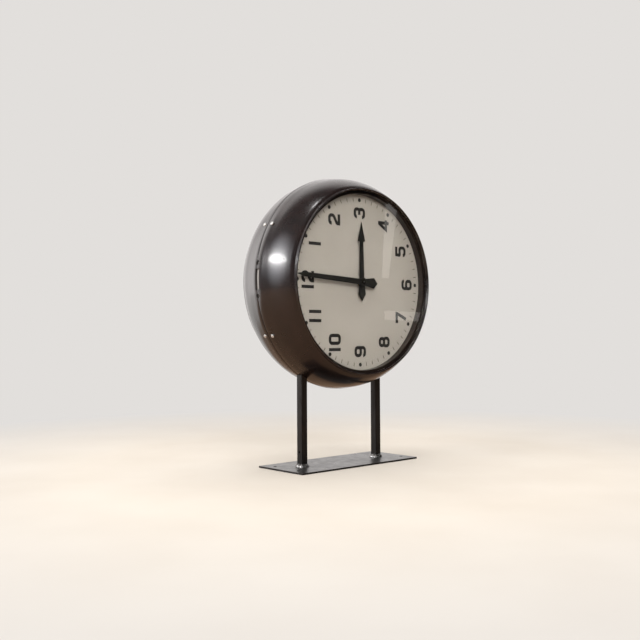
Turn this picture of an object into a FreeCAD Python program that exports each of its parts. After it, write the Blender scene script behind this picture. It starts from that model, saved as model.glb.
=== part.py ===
"""A double sided slave clock on its bracket: two dials back to back in a round case, each with its own movement.

Frame: X to the right, Y to the back along the clock's axis, Z up, origin under the middle of the base plate.
Each side is drawn about the clock's own centre. There a depth is counted outwards from the seam,
12 o'clock points to -X and, on the front side, 3 o'clock to +Z. The rear side is the same, turned over.
"""

import FreeCAD, Part
import math
import os
import Sketcher

Vector = FreeCAD.Vector
Rotation = FreeCAD.Rotation
Placement = FreeCAD.Placement

# Driving dimensions in millimetres, degrees and counts.
SIZES = {
    "bracket": {
        "plate_length": 277,
        "plate_width": 114,
        "plate_thick": 3,
        "plate_hole_radius": 3.25,
        "hole_end_margin": 14.5,
        "hole_side_margin": 26,
        "leg_side": 12.7,
        "leg_wall": 1.6,
        "leg_spacing": 179,
        "leg_reach": 14,
        "leg_hole_radius": 1.75,
        "leg_hole_height": 24.7,
        "weld_foot": 4,
        "weld_land": 0.4,
        "weld_height": 5,
        "centre_height": 318,
    },
    "case": {
        "mouth_lap": 2.6,
        "bead_flare": 2.2,
        "bead_width": 2.8,
        "bead_height": 6.1,
        "rim_swell": 0.8,
        "rim_back": 4.6,
        "shoulder_swell": 6.8,
        "shoulder_back": 11.3,
        "shoulder_bow": 22,
        "bow_swell": 15.75,
        "case_bow": 90,
        "draft_swell": 3.15,
        "draft_depth": 20.6,
        "case_wall": 4.8,
        "waist_swell": 3.8,
        "rebate_clear": 1,
        "seam_gap": 1,
        "slot_length": 35,
        "slot_width": 9,
        "slot_hole_radius": 4,
        "slot_hole_spacing": 55.4,
        "notch_gap": 0.3,
    },
    "band": {
        "band_width": 28,
        "band_thick": 1.5,
        "band_gap": 0.3,
        "screw_angle": 30,
        "screw_depth": 9.5,
        "screw_radius": 1.95,
        "screw_head_radius": 3,
        "screw_head_height": 1.6,
        "screw_reach": 3,
        "hole_gap": 0.15,
        "bracket_width": 14,
        "bracket_thick": 1.5,
        "bracket_foot": 11,
        "bracket_toe": 11,
        "bracket_start": 2,
        "terminal_length": 60,
        "terminal_width": 16,
        "terminal_height": 14,
        "terminal_pitch": 13,
        "terminal_groove": 6,
    },
    "dial": {
        "view_radius": 152.4,
        "dial_depth": 50,
        "dial_thick": 1.5,
        "dial_hole_gap": 1.5,
        "ring_lap": 5,
        "glass_clear": 0.9,
        "glass_thick": 3,
        "glass_gap": 0.4,
    },
    "hands": {
        "hand_thick": 1,
        "hour_hand_rise": 5,
        "hour_length": 104.5,
        "hour_head": 33.5,
        "hour_head_half": 8.5,
        "hour_head_slope": 1.5,
        "hour_root_half": 5.5,
        "hour_neck_half": 3.85,
        "hour_tail_wide": 21,
        "hour_tail_tip": 12,
        "hour_tail_half": 8.5,
        "hour_hub_radius": 9,
        "hour_angle": 89.5,
        "hand_step": 3,
        "minute_clear": 3.4,
        "minute_point": 15,
        "minute_point_half": 0.8,
        "minute_root_half": 5,
        "minute_neck_half": 3.8,
        "minute_tail_wide": 26,
        "minute_tail_tip": 9,
        "minute_tail_half": 9.4,
        "minute_hub_radius": 8,
        "minute_angle": 3.2,
        "nut_radius": 4,
        "nut_height": 1.6,
    },
    "frame": {
        "post_radius": 4,
        "post_inset": 6,
        "frame_thick": 2,
        "frame_gap": 20,
        "frame_top": 38,
        "frame_end": 8,
        "frame_margin": 6,
    },
    "motion": {
        "wheel_spacing": 24,
        "leaves": 8,
        "motion_teeth": 24,
        "hour_teeth": 32,
        "addendum": 0.8,
        "arbor_radius": 2,
        "pivot_radius": 1.25,
        "running_gap": 0.05,
        "fixed_gap": 0.03,
        "end_gap": 0.7,
        "cannon_wall": 1.5,
        "cannon_leaf_length": 3.5,
        "cannon_start": 1,
        "hand_shoulder": 0.6,
        "pipe_wall": 1.95,
        "hub_length": 1.8,
        "wheel_thick": 2.2,
        "leaf_over": 1.3,
        "dial_clear": 1.3,
    },
    "drive": {
        "ratchet_teeth": 60,
        "ratchet_radius": 30,
        "ratchet_tooth": 1.4,
        "ratchet_rise": 10,
        "ratchet_thick": 2,
        "core_side": 8,
        "core_offset": 15,
        "core_start": 47,
        "core_length": 33,
        "core_tip": 3,
        "yoke_thick": 4,
        "yoke_half": 26,
        "coil_clear": 1.5,
        "winding_inset": 0.5,
        "cheek_clear": 0.5,
        "cheek_thick": 1.5,
        "tube_wall": 1,
        "armature_thick": 3,
        "armature_gap": 2.5,
        "armature_width": 12,
        "armature_drop": 10,
        "armature_high": 30,
        "arm_width": 7,
        "arm_thick": 2,
        "arm_clear": 1,
        "lever_thick": 3,
        "lever_gap": 0.3,
        "lever_half": 3,
        "pin_radius": 1.75,
        "collar_radius": 3,
        "eye_radius": 4,
        "nose_gap": 0.45,
        "pawl_side": 8,
        "pawl_rise": 10,
        "pawl_nose_angle": 66.4,
        "click_side": 8,
        "click_rise": 12,
        "click_nose_angle": 36.4,
    },
}

doc = FreeCAD.newDocument("StationClock")


def fill_sheet():
    """Write every driving dimension into the spreadsheet, a name and its value on each row."""
    sheet = doc.addObject("Spreadsheet::Sheet", "dim")
    row = 1
    for group, sizes in SIZES.items():
        sheet.set("A%d" % row, group)
        row += 1
        for name, size in sizes.items():
            sheet.set("A%d" % row, name.replace("_", " "))
            sheet.set("B%d" % row, str(size))
            sheet.setAlias("B%d" % row, name)
            row += 1
    doc.recompute()
    return sheet


dim = fill_sheet()


def value(expression):
    """Work out an expression over the sheet's names."""
    return float(dim.evalExpression(expression))


# Depths and radii that several pieces share, as expressions over the sheet.
DIAL_BACK = "(dim.dial_depth - dim.dial_thick)"
HOUR_HAND_DEPTH = "(dim.dial_depth + dim.hour_hand_rise)"
MINUTE_HAND_DEPTH = "(%s + dim.hand_step)" % HOUR_HAND_DEPTH
NUT_DEPTH = "(%s + dim.hand_thick)" % MINUTE_HAND_DEPTH
ARBOR_END = "(%s + dim.nut_height)" % NUT_DEPTH
GLASS_BACK = "(%s + dim.glass_clear)" % ARBOR_END
MOUTH_DEPTH = "(%s + dim.glass_thick)" % GLASS_BACK
BEAD_DEPTH = "(%s + dim.bead_height)" % MOUTH_DEPTH
RIM_DEPTH = "(%s - dim.rim_back)" % BEAD_DEPTH
SHOULDER_DEPTH = "(%s - dim.shoulder_back)" % BEAD_DEPTH
RING_RADIUS = "(dim.view_radius + dim.ring_lap)"
MOUTH_RADIUS = "(dim.view_radius + dim.mouth_lap)"
BEAD_INNER = "(%s + dim.bead_flare)" % MOUTH_RADIUS
BEAD_RADIUS = "(%s + dim.bead_width)" % BEAD_INNER
RIM_RADIUS = "(%s + dim.rim_swell)" % BEAD_RADIUS
SHOULDER_RADIUS = "(%s + dim.shoulder_swell)" % RIM_RADIUS
DRAFT_RADIUS = "(%s + dim.bow_swell)" % SHOULDER_RADIUS
CASE_RADIUS = "(%s + dim.draft_swell)" % DRAFT_RADIUS
BAND_OUTER = "(%s - dim.case_wall - dim.band_gap)" % CASE_RADIUS
BAND_INNER = "(%s - dim.band_thick)" % BAND_OUTER
HUB_RISE = "(dim.cannon_start + dim.cannon_leaf_length + dim.end_gap)"
LEAF_RISE = "(%s + dim.hub_length + dim.wheel_thick + dim.leaf_over)" % HUB_RISE
POST_LENGTH = "(%s + dim.end_gap + dim.dial_clear)" % LEAF_RISE
OUTER_FACE = "(%s - %s)" % (DIAL_BACK, POST_LENGTH)
OUTER_PLATE = "(%s - dim.frame_thick)" % OUTER_FACE
INNER_FACE = "(%s - dim.frame_gap)" % OUTER_PLATE
INNER_PLATE = "(%s - dim.frame_thick)" % INNER_FACE
MID_DEPTH = "(%s + dim.frame_gap / 2)" % INNER_FACE
CANNON_START = "(%s + dim.cannon_start)" % OUTER_FACE
HOUR_WHEEL_DEPTH = "(%s + %s + dim.hub_length)" % (OUTER_FACE, HUB_RISE)
LEAF_END = "(%s + %s)" % (OUTER_FACE, LEAF_RISE)
CANNON_RADIUS = "(dim.arbor_radius + dim.cannon_wall)"
PIPE_RADIUS = "(%s + dim.pipe_wall + dim.running_gap)" % CANNON_RADIUS
MOTION_MODULE = "(2 * dim.wheel_spacing / (dim.leaves + dim.motion_teeth))"
HOUR_MODULE = "(2 * dim.wheel_spacing / (dim.leaves + dim.hour_teeth))"
RATCHET_DEPTH = "(%s + dim.ratchet_rise)" % INNER_FACE
ARM_DEPTH = "(%s + dim.ratchet_thick + dim.arm_clear)" % RATCHET_DEPTH
LEVER_DEPTH = "(%s - dim.lever_gap - dim.lever_thick)" % ARM_DEPTH
PAWL_RISE = "(dim.ratchet_radius + dim.pawl_rise)"
CLICK_RISE = "(dim.ratchet_radius + dim.click_rise)"
FRAME_HALF = "(%s + dim.frame_margin)" % CLICK_RISE
FRAME_BOTTOM = "(dim.core_start + dim.core_length + dim.yoke_thick + dim.frame_end)"
ARMATURE_X = "(dim.core_start - dim.armature_gap - dim.armature_thick)"
ARMATURE_PIVOT = "(dim.ratchet_radius + dim.armature_drop)"
COIL_START = "(dim.core_start + dim.core_tip)"
COIL_LENGTH = "(dim.core_length - dim.core_tip - dim.coil_clear)"
CHEEK_SIDE = "(dim.frame_gap - 2 * dim.cheek_clear)"

# Tooth gaps in modules: width at the tip, width at the root, and depth of the root below the pitch circle.
LEAF_GAP = (2.8, 0.8, 1.25)
TOOTH_GAP = (2.3, 1.1, 1.1)


def new_body(label, many=False):
    body = doc.addObject("PartDesign::Body", label)
    body.Label = label
    body.AllowCompound = many
    return body


def new_sketch(body, name, role, depth="0", turn=0):
    """Attach a sketch to one of the body's own planes, lifted by depth and turned in its plane."""
    sketch = body.newObject("Sketcher::SketchObject", name)
    plane = [feature for feature in body.Origin.OriginFeatures if feature.Role == role][0]
    sketch.AttachmentSupport = [(plane, "")]
    sketch.MapMode = "FlatFace"
    sketch.AttachmentOffset = Placement(Vector(0, 0, 0), Rotation(Vector(0, 0, 1), turn))
    sketch.setExpression(".AttachmentOffset.Base.z", depth)
    return sketch


def hold(sketch, kind, expression, *where):
    """Add a constraint whose value is bound to the sheet."""
    index = sketch.addConstraint(Sketcher.Constraint(kind, *where, value(expression)))
    sketch.setExpression("Constraints[%d]" % index, expression)


def bowed_edge(start, end, radius):
    """An arc from start to end that bulges to the left of the way."""
    chord = end - start
    left = Vector(-chord.y, chord.x, 0).normalize()
    rise = math.sqrt(radius**2 - (chord.Length / 2) ** 2)
    centre = (start + end) * 0.5 - left * rise
    first = math.atan2(end.y - centre.y, end.x - centre.x)
    last = math.atan2(start.y - centre.y, start.x - centre.x)
    return Part.ArcOfCircle(Part.Circle(centre, Vector(0, 0, 1), radius), first, last)


def trace(sketch, corners, bows=None):
    """Close an outline through corners; bows gives the radius of each edge that is an arc."""
    bows = bows or {}
    first = sketch.GeometryCount
    points = [Vector(value(x), value(y), 0) for x, y in corners]
    count = len(points)
    for edge in range(count):
        start = points[edge]
        end = points[(edge + 1) % count]
        if edge in bows:
            sketch.addGeometry(bowed_edge(start, end, value(bows[edge])))
        else:
            sketch.addGeometry(Part.LineSegment(start, end))
    for edge in range(count):
        following = (edge + 1) % count
        finish = 1 if edge in bows else 2
        begin = 2 if following in bows else 1
        sketch.addConstraint(
            Sketcher.Constraint("Coincident", first + edge, finish, first + following, begin)
        )
    for edge, (x, y) in enumerate(corners):
        begin = 2 if edge in bows else 1
        hold(sketch, "DistanceX", x, first + edge, begin)
        hold(sketch, "DistanceY", y, first + edge, begin)
    for edge, radius in bows.items():
        hold(sketch, "Radius", radius, first + edge)


def trace_circle(sketch, x, y, radius):
    centre = Vector(value(x), value(y), 0)
    index = sketch.addGeometry(Part.Circle(centre, Vector(0, 0, 1), value(radius)))
    hold(sketch, "DistanceX", x, index, 3)
    hold(sketch, "DistanceY", y, index, 3)
    hold(sketch, "Radius", radius, index)


def rectangle(left, right, low, high):
    return [(left, low), (right, low), (right, high), (left, high)]


def extrude(body, sketch, length, kind="Pad", both_ways=False):
    feature = body.newObject("PartDesign::" + kind, sketch.Name + kind)
    feature.Profile = sketch
    feature.setExpression("Length", length)
    if both_ways:
        feature.SideType = "Symmetric"
    return feature


def turn_profile(body, name, corners, bows=None):
    """Turn a profile of (radius, depth) corners about the clock's axis."""
    sketch = new_sketch(body, name, "XY_Plane")
    trace(sketch, [(radius, "-(%s)" % depth) for radius, depth in corners], bows)
    feature = body.newObject("PartDesign::Revolution", name + "Turn")
    feature.Profile = sketch
    feature.ReferenceAxis = (sketch, ["V_Axis"])
    feature.Angle = 360
    return feature


def stepped(bore, steps):
    """The profile of a turned piece: its bore, and its outer radius from each depth to the next."""
    corners = [(bore, steps[0][0])]
    for (start, radius), (end, _) in zip(steps, steps[1:]):
        corners.append((radius, start))
        corners.append((radius, end))
    corners.append((bore, steps[-1][0]))
    return corners


def pattern(body, feature, axis, count):
    """Repeat a feature evenly round an axis of the body or sketch."""
    doc.recompute()
    repeat = body.newObject("PartDesign::PolarPattern", feature.Name + "Repeat")
    repeat.Originals = [feature]
    repeat.Axis = axis
    repeat.Angle = 360
    repeat.setExpression("Occurrences", count)
    body.Tip = repeat
    return repeat


def body_axis(body, role):
    return ([feature for feature in body.Origin.OriginFeatures if feature.Role == role][0], [""])


def seat(piece, side, x="0", z="0", turn=0):
    """Put a piece drawn about its own centre on the front or rear side of the clock."""
    over = Rotation(Vector(1, 0, 0), 0 if side == "front" else 180)
    sign = "+" if side == "front" else "-"
    piece.Placement = Placement(Vector(0, 0, 0), over * Rotation(Vector(0, 1, 0), turn))
    piece.setExpression(".Placement.Base.x", x)
    piece.setExpression(".Placement.Base.z", "dim.centre_height %s (%s)" % (sign, z))


def cut_gaps(body, name, teeth, module, gap, start, length, turn):
    """Cut the gaps between teeth, each a trapezium, round the body's axis."""
    tip_width, root_width, dedendum = gap
    radius = "%s * %s / 2" % (teeth, module)
    tip = "%s + dim.addendum * %s * 2" % (radius, module)
    root = "%s - %g * %s" % (radius, dedendum, module)
    reach = (dedendum + 2 * SIZES["motion"]["addendum"]) / (dedendum + SIZES["motion"]["addendum"])
    flare = root_width + (tip_width - root_width) * reach
    sketch = new_sketch(body, name, "XZ_Plane", "%s + %s" % (start, length), turn)
    corners = [
        ("-%g * %s" % (flare / 2, module), tip),
        ("-%g * %s" % (root_width / 2, module), root),
        ("%g * %s" % (root_width / 2, module), root),
        ("%g * %s" % (flare / 2, module), tip),
    ]
    trace(sketch, corners)
    pocket = extrude(body, sketch, length, "Pocket")
    return pattern(body, pocket, body_axis(body, "Y_Axis"), teeth)


def prism(label, side, outline, depth, thick, x="0", z="0", holes=(), turn=0):
    """A flat piece with its outline in the dial's plane, from a depth outwards."""
    body = new_body(label)
    sketch = new_sketch(body, label + "Outline", "XZ_Plane", depth)
    trace(sketch, outline)
    for hole_x, hole_z, radius in holes:
        trace_circle(sketch, hole_x, hole_z, radius)
    extrude(body, sketch, thick)
    seat(body, side, x, z, turn)
    return body


def box(name, x, y, z, length, width, height):
    piece = doc.addObject("Part::Box", name)
    for key, expression in zip(("Length", "Width", "Height"), (length, width, height)):
        piece.setExpression(key, expression)
    for key, expression in zip("xyz", (x, y, z)):
        piece.setExpression(".Placement.Base." + key, expression)
    return piece


def join(label, pieces):
    fused = doc.addObject("Part::MultiFuse", label)
    fused.Label = label
    fused.Shapes = pieces
    return fused


def cut(name, base, tool):
    result = doc.addObject("Part::Cut", name)
    result.Label = name
    result.Base = base
    result.Tool = tool
    return result


def make_base_plate():
    body = new_body("base_plate")
    sketch = new_sketch(body, "PlateOutline", "XY_Plane")
    half_length = "dim.plate_length / 2"
    half_width = "dim.plate_width / 2"
    trace(sketch, rectangle("-" + half_length, half_length, "-" + half_width, half_width))
    for across in ("-", ""):
        for along in ("-", ""):
            x = across + "(dim.plate_length / 2 - dim.hole_end_margin)"
            y = along + "(dim.plate_width / 2 - dim.hole_side_margin)"
            trace_circle(sketch, x, y, "dim.plate_hole_radius")
    extrude(body, sketch, "dim.plate_thick")
    return body


def make_leg(label, sign, turn):
    """A square tube from the plate to inside the case, with a cross hole in its outward wall."""
    body = new_body(label)
    sketch = new_sketch(body, label + "Section", "XY_Plane")
    outer = "dim.leg_side / 2"
    inner = "(dim.leg_side / 2 - dim.leg_wall)"
    trace(sketch, rectangle("-" + outer, outer, "-" + outer, outer))
    trace(sketch, rectangle("-" + inner, inner, "-" + inner, inner))
    top = "dim.centre_height - sqrt(%s ^ 2 - (dim.leg_spacing / 2) ^ 2)" % BAND_INNER
    extrude(body, sketch, "%s + dim.leg_reach - dim.plate_thick" % top)
    hole = new_sketch(body, label + "Hole", "YZ_Plane")
    trace_circle(hole, "0", "dim.leg_hole_height", "dim.leg_hole_radius")
    extrude(body, hole, "dim.leg_side", "Pocket")
    body.Placement = Placement(Vector(0, 0, 0), Rotation(Vector(0, 0, 1), turn))
    body.setExpression(".Placement.Base.x", sign + "dim.leg_spacing / 2")
    body.setExpression(".Placement.Base.z", "dim.plate_thick")
    return body


def make_weld(label, sign):
    """The bead round a leg's foot, square in plan with sloping sides."""
    slope = doc.addObject("Part::Wedge", label + "Slope")
    foot = "(dim.leg_side / 2 + dim.weld_foot)"
    land = "(dim.leg_side / 2 + dim.weld_land)"
    for axis in "XZ":
        slope.setExpression(axis + "min", "-" + foot)
        slope.setExpression(axis + "max", foot)
        slope.setExpression(axis + "2min", "-" + land)
        slope.setExpression(axis + "2max", land)
    slope.setExpression("Ymin", "0")
    slope.setExpression("Ymax", "dim.weld_height")
    slope.Placement = Placement(Vector(0, 0, 0), Rotation(Vector(1, 0, 0), 90))
    side = "(dim.leg_side + 2 * dim.fixed_gap)"
    corner = "-%s / 2" % side
    leg = box(label + "Leg", corner, corner, "-1", side, side, "dim.weld_height + 2")
    piece = cut(label, slope, leg)
    piece.setExpression(".Placement.Base.x", sign + "dim.leg_spacing / 2")
    piece.setExpression(".Placement.Base.z", "dim.plate_thick")
    return piece


def cut_leg_holes(body, name, low, gap):
    """Square openings for the two legs, cut downwards from a height."""
    half = "(dim.leg_side / 2 + %s)" % gap
    for sign in ("-", ""):
        centre = sign + "dim.leg_spacing / 2"
        sketch = new_sketch(body, name + ("Left" if sign else "Right"), "XY_Plane", "-%s / 2" % CASE_RADIUS)
        trace(sketch, rectangle(centre + " - " + half, centre + " + " + half, "-" + half, half))
        extrude(body, sketch, low, "Pocket")


def cut_screw_holes(body, name, depth, radius):
    """Two drillings right through, on either side of the 12 o'clock line, for the screws at one depth."""
    for angle in ("-", ""):
        label = name + ("Low" if angle else "High")
        sketch = new_sketch(body, label, "YZ_Plane")
        sketch.AttachmentOffset = Placement(Vector(0, 0, 0), Rotation(Vector(1, 0, 0), 0))
        sketch.setExpression(".AttachmentOffset.Rotation.Axis.x", "1")
        sketch.setExpression(".AttachmentOffset.Rotation.Axis.z", "0")
        sketch.setExpression(".AttachmentOffset.Rotation.Angle", angle + "dim.screw_angle")
        trace_circle(sketch, depth, "0", radius)
        extrude(body, sketch, "2 * %s + 1" % CASE_RADIUS, "Pocket", both_ways=True)


def make_band():
    """The steel ring inside the seam that carries both halves, the legs and the dials."""
    body = new_body("joining_band")
    half = "dim.band_width / 2"
    corners = [
        (BAND_INNER, "-" + half),
        (BAND_OUTER, "-" + half),
        (BAND_OUTER, half),
        (BAND_INNER, half),
    ]
    turn_profile(body, "BandSection", corners)
    cut_leg_holes(body, "BandLeg", CASE_RADIUS, "dim.hole_gap")
    for sign in ("-", ""):
        name = "BandScrew" + ("Front" if sign else "Rear")
        cut_screw_holes(body, name, sign + "dim.screw_depth", "(dim.screw_radius + dim.hole_gap)")
    body.setExpression(".Placement.Base.z", "dim.centre_height")
    return body


def make_case(label, side):
    """One half of the case: a shell with a draft from the seam, bowed in to the rolled mouth, and a rebate."""
    body = new_body(label)
    seam = "dim.seam_gap / 2"
    rebate = "(%s - dim.case_wall)" % CASE_RADIUS
    corners = [
        (CASE_RADIUS, seam),
        (DRAFT_RADIUS, "dim.draft_depth"),
        (SHOULDER_RADIUS, SHOULDER_DEPTH),
        (RIM_RADIUS, RIM_DEPTH),
        (BEAD_RADIUS, BEAD_DEPTH),
        (BEAD_INNER, BEAD_DEPTH),
        (MOUTH_RADIUS, MOUTH_DEPTH),
        ("(%s + 2 * dim.glass_gap)" % RING_RADIUS, MOUTH_DEPTH),
        ("(%s + dim.waist_swell - dim.case_wall)" % SHOULDER_RADIUS, "dim.dial_depth"),
        (rebate, "(dim.band_width / 2 + dim.rebate_clear)"),
        (rebate, seam),
    ]
    turn_profile(body, label + "Section", corners, {1: "dim.case_bow", 2: "dim.shoulder_bow"})
    cut_leg_holes(body, label + "Leg", CASE_RADIUS, "dim.notch_gap")
    sign = "-" if side == "front" else ""
    cut_screw_holes(body, label + "Screw", "-dim.screw_depth", "(dim.screw_radius + dim.hole_gap)")
    window = new_sketch(body, label + "Window", "YZ_Plane", sign + CASE_RADIUS + " / 2")
    half = "dim.slot_width / 2"
    end = "dim.slot_length / 2"
    trace(window, rectangle("-" + half, half, "-" + end, end))
    for z in ("-dim.slot_hole_spacing / 2", "dim.slot_hole_spacing / 2"):
        trace_circle(window, "0", z, "dim.slot_hole_radius")
    pocket = extrude(body, window, CASE_RADIUS, "Pocket")
    pocket.Reversed = side == "rear"
    body.Placement = Placement(Vector(0, 0, 0), Rotation(Vector(0, 0, 1), 0 if side == "front" else 180))
    body.setExpression(".Placement.Base.z", "dim.centre_height")
    return body


def prism_along_x(sides, radius, start, length):
    """A regular prism about the X axis."""
    corners = []
    for step in range(sides + 1):
        angle = 2 * math.pi * step / sides
        corners.append(Vector(start, radius * math.cos(angle), radius * math.sin(angle)))
    return Part.Face(Part.makePolygon(corners)).extrude(Vector(length, 0, 0))


def make_seam_screws():
    """One pan head screw on each side of the seam at four places, all pointing at the clock's axis."""
    radius = value("dim.screw_radius")
    seat_radius = value(CASE_RADIUS)
    tip = value(BAND_INNER + " - dim.screw_reach")
    head = prism_along_x(12, value("dim.screw_head_radius"), seat_radius, value("dim.screw_head_height"))
    shank = prism_along_x(6, radius, tip, seat_radius - tip)
    screw = head.fuse(shank).removeSplitter()
    screws = []
    for centre in (0, 180):
        for angle in (-value("dim.screw_angle"), value("dim.screw_angle")):
            for depth in (-value("dim.screw_depth"), value("dim.screw_depth")):
                copy = screw.copy()
                copy.rotate(Vector(0, 0, 0), Vector(0, 1, 0), centre + angle)
                copy.translate(Vector(0, depth, 0))
                screws.append(copy)
    group = doc.addObject("Part::Feature", "seam_screws")
    group.Label = "seam_screws"
    group.Shape = Part.makeCompound(screws)
    group.Placement = Placement(Vector(0, 0, value("dim.centre_height")), Rotation())
    return group


def make_terminal_block():
    """The block inside the band behind the slot, grooved between its terminals."""
    body = new_body("terminal_block")
    sketch = new_sketch(body, "TerminalSide", "XZ_Plane", "-dim.terminal_width / 2")
    back = "-(sqrt(%s ^ 2 - (dim.terminal_length / 2) ^ 2) - dim.glass_gap)" % BAND_INNER
    front = back + " + dim.terminal_height"
    end = "dim.terminal_length / 2"
    trace(sketch, rectangle(back, front, "-" + end, end))
    extrude(body, sketch, "dim.terminal_width")
    for step in (-1, 0, 1):
        groove = new_sketch(body, "TerminalGroove%d" % (step + 2), "XZ_Plane", "dim.terminal_width / 2")
        centre = "%d * dim.terminal_pitch" % step
        low = centre + " - dim.terminal_groove / 2"
        high = centre + " + dim.terminal_groove / 2"
        trace(groove, rectangle(front + " - dim.terminal_groove", front + " + 1", low, high))
        extrude(body, groove, "dim.terminal_width", "Pocket")
    body.setExpression(".Placement.Base.z", "dim.centre_height")
    return body


def make_disc(label, side, radius, start, end, bore=None):
    body = new_body(label)
    outer = [(radius, start), (radius, end)]
    inner = bore or "0"
    turn_profile(body, label + "Section", [(inner, start)] + outer + [(inner, end)])
    seat(body, side)
    return body


def make_brackets(label, side):
    """Four bent strips from the band to the back of the dial."""
    body = new_body(label, many=True)
    half = "(dim.bracket_width / 2)"
    outer = "(sqrt(%s ^ 2 - %s ^ 2) - dim.hole_gap / 3)" % (BAND_INNER, half)
    inner = outer + " - dim.bracket_thick"
    toe = RING_RADIUS + " - dim.glass_gap"
    corners = [
        (outer, "dim.bracket_start"),
        (outer, "(dim.bracket_start + dim.bracket_foot)"),
        (toe, DIAL_BACK),
        (toe + " - dim.bracket_toe", DIAL_BACK),
        (toe + " - dim.bracket_toe", "(%s - dim.bracket_thick)" % DIAL_BACK),
        (toe + " - dim.bracket_thick / 2", "(%s - dim.bracket_thick)" % DIAL_BACK),
        (inner, "(dim.bracket_start + dim.bracket_foot - dim.bracket_thick / 2)"),
        (inner, "dim.bracket_start"),
    ]
    sketch = new_sketch(body, label + "Section", "XY_Plane")
    trace(sketch, [(radius, "-(%s)" % depth) for radius, depth in corners])
    pad = extrude(body, sketch, "dim.bracket_width", both_ways=True)
    pattern(body, pad, body_axis(body, "Y_Axis"), "4")
    seat(body, side, turn=45)
    return body


def corner_posts(label, side, start, length):
    """Four hexagon posts at the corners of the movement's plates."""
    hexagon = []
    radius = value("dim.post_radius")
    for step in range(7):
        angle = math.radians(60 * step)
        hexagon.append(Vector(radius * math.cos(angle), -value(start), radius * math.sin(angle)))
    post = Part.Face(Part.makePolygon(hexagon)).extrude(Vector(0, -value(length), 0))
    posts = []
    half = value(FRAME_HALF + " - dim.post_inset")
    for x in (-value("dim.frame_top - dim.post_inset"), value(FRAME_BOTTOM + " - dim.post_inset")):
        for z in (-half, half):
            posts.append(post.translated(Vector(x, 0, z)))
    group = doc.addObject("Part::Feature", label)
    group.Label = label
    group.Shape = Part.makeCompound(posts)
    seat(group, side)
    return group


def make_frame_plate(label, side, depth, centre_radius):
    """A movement plate, with the holes that carry the minute arbor and the armature's arbor."""
    outline = rectangle("-dim.frame_top", FRAME_BOTTOM, "-" + FRAME_HALF, FRAME_HALF)
    pivot = "(dim.pivot_radius + dim.running_gap)"
    holes = [
        ("0", "0", "(%s + dim.running_gap)" % centre_radius),
        (ARMATURE_X + " + dim.armature_thick / 2", "-" + ARMATURE_PIVOT, pivot),
    ]
    return prism(label, side, outline, depth, "dim.frame_thick", holes=holes)


def make_minute_arbor(label, side):
    body = new_body(label)
    steps = [
        (INNER_PLATE, "dim.pivot_radius"),
        (INNER_FACE + " + dim.lever_gap", "dim.arbor_radius"),
        (ARBOR_END, None),
    ]
    turn_profile(body, label + "Section", stepped("0", steps))
    seat(body, side)
    return body


def make_ratchet(label, side):
    """The wheel that steps once a minute: saw teeth with their steep faces looking back."""
    teeth = int(value("dim.ratchet_teeth"))
    tip = value("dim.ratchet_radius")
    root = tip - value("dim.ratchet_tooth")
    depth = value(RATCHET_DEPTH)
    points = []
    for tooth in range(teeth):
        angle = 2 * math.pi * tooth / teeth
        for radius in (tip, root):
            points.append(Vector(radius * math.cos(angle), -depth, radius * math.sin(angle)))
    wheel = Part.Face(Part.makePolygon(points + points[:1]))
    wheel = wheel.extrude(Vector(0, -value("dim.ratchet_thick"), 0))
    bore = Part.makeCylinder(
        value("dim.arbor_radius + dim.fixed_gap"),
        value("dim.ratchet_thick + 2"),
        Vector(0, 1 - depth, 0),
        Vector(0, -1, 0),
    )
    piece = doc.addObject("Part::Feature", label)
    piece.Label = label
    piece.Shape = wheel.cut(bore)
    seat(piece, side)
    return piece


def tip_radius(teeth, module):
    return "(%s * %s / 2 + dim.addendum * %s)" % (teeth, module, module)


def make_cannon(label, side):
    """The cannon pinion: leaves at the plate, and a tube out to the minute hand."""
    body = new_body(label)
    leaves_end = "(%s + dim.cannon_leaf_length)" % CANNON_START
    steps = [
        (CANNON_START, tip_radius("dim.leaves", MOTION_MODULE)),
        (leaves_end, CANNON_RADIUS),
        (MINUTE_HAND_DEPTH, "(%s - dim.hand_shoulder)" % CANNON_RADIUS),
        (NUT_DEPTH, None),
    ]
    bore = "(dim.arbor_radius + dim.fixed_gap)"
    turn_profile(body, label + "Section", stepped(bore, steps))
    cut_gaps(
        body, label + "Gap", "dim.leaves", MOTION_MODULE, LEAF_GAP, CANNON_START, "dim.cannon_leaf_length", 0
    )
    seat(body, side, turn=value("dim.minute_angle"))
    return body


def make_motion_wheel(label, side):
    """The wheel and pinion that turn the minute hand's speed down to the hour hand's."""
    body = new_body(label)
    wheel_end = "(%s + dim.wheel_thick)" % CANNON_START
    steps = [
        (CANNON_START, tip_radius("dim.motion_teeth", MOTION_MODULE)),
        (wheel_end, tip_radius("dim.leaves", HOUR_MODULE)),
        (LEAF_END, None),
    ]
    bore = "(dim.arbor_radius + dim.running_gap)"
    turn_profile(body, label + "Section", stepped(bore, steps))
    half_tooth = 180 / value("dim.motion_teeth")
    half_leaf = 180 / value("dim.leaves")
    cut_gaps(
        body,
        label + "Gap",
        "dim.motion_teeth",
        MOTION_MODULE,
        TOOTH_GAP,
        CANNON_START,
        "dim.wheel_thick",
        half_tooth,
    )
    leaf_length = "(%s - %s)" % (LEAF_END, wheel_end)
    cut_gaps(
        body, label + "Leaf", "dim.leaves", HOUR_MODULE, LEAF_GAP, wheel_end, leaf_length, half_leaf
    )
    ratio = -value("dim.leaves") / value("dim.motion_teeth")
    seat(body, side, x="-dim.wheel_spacing", turn=ratio * value("dim.minute_angle"))
    return body


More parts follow.
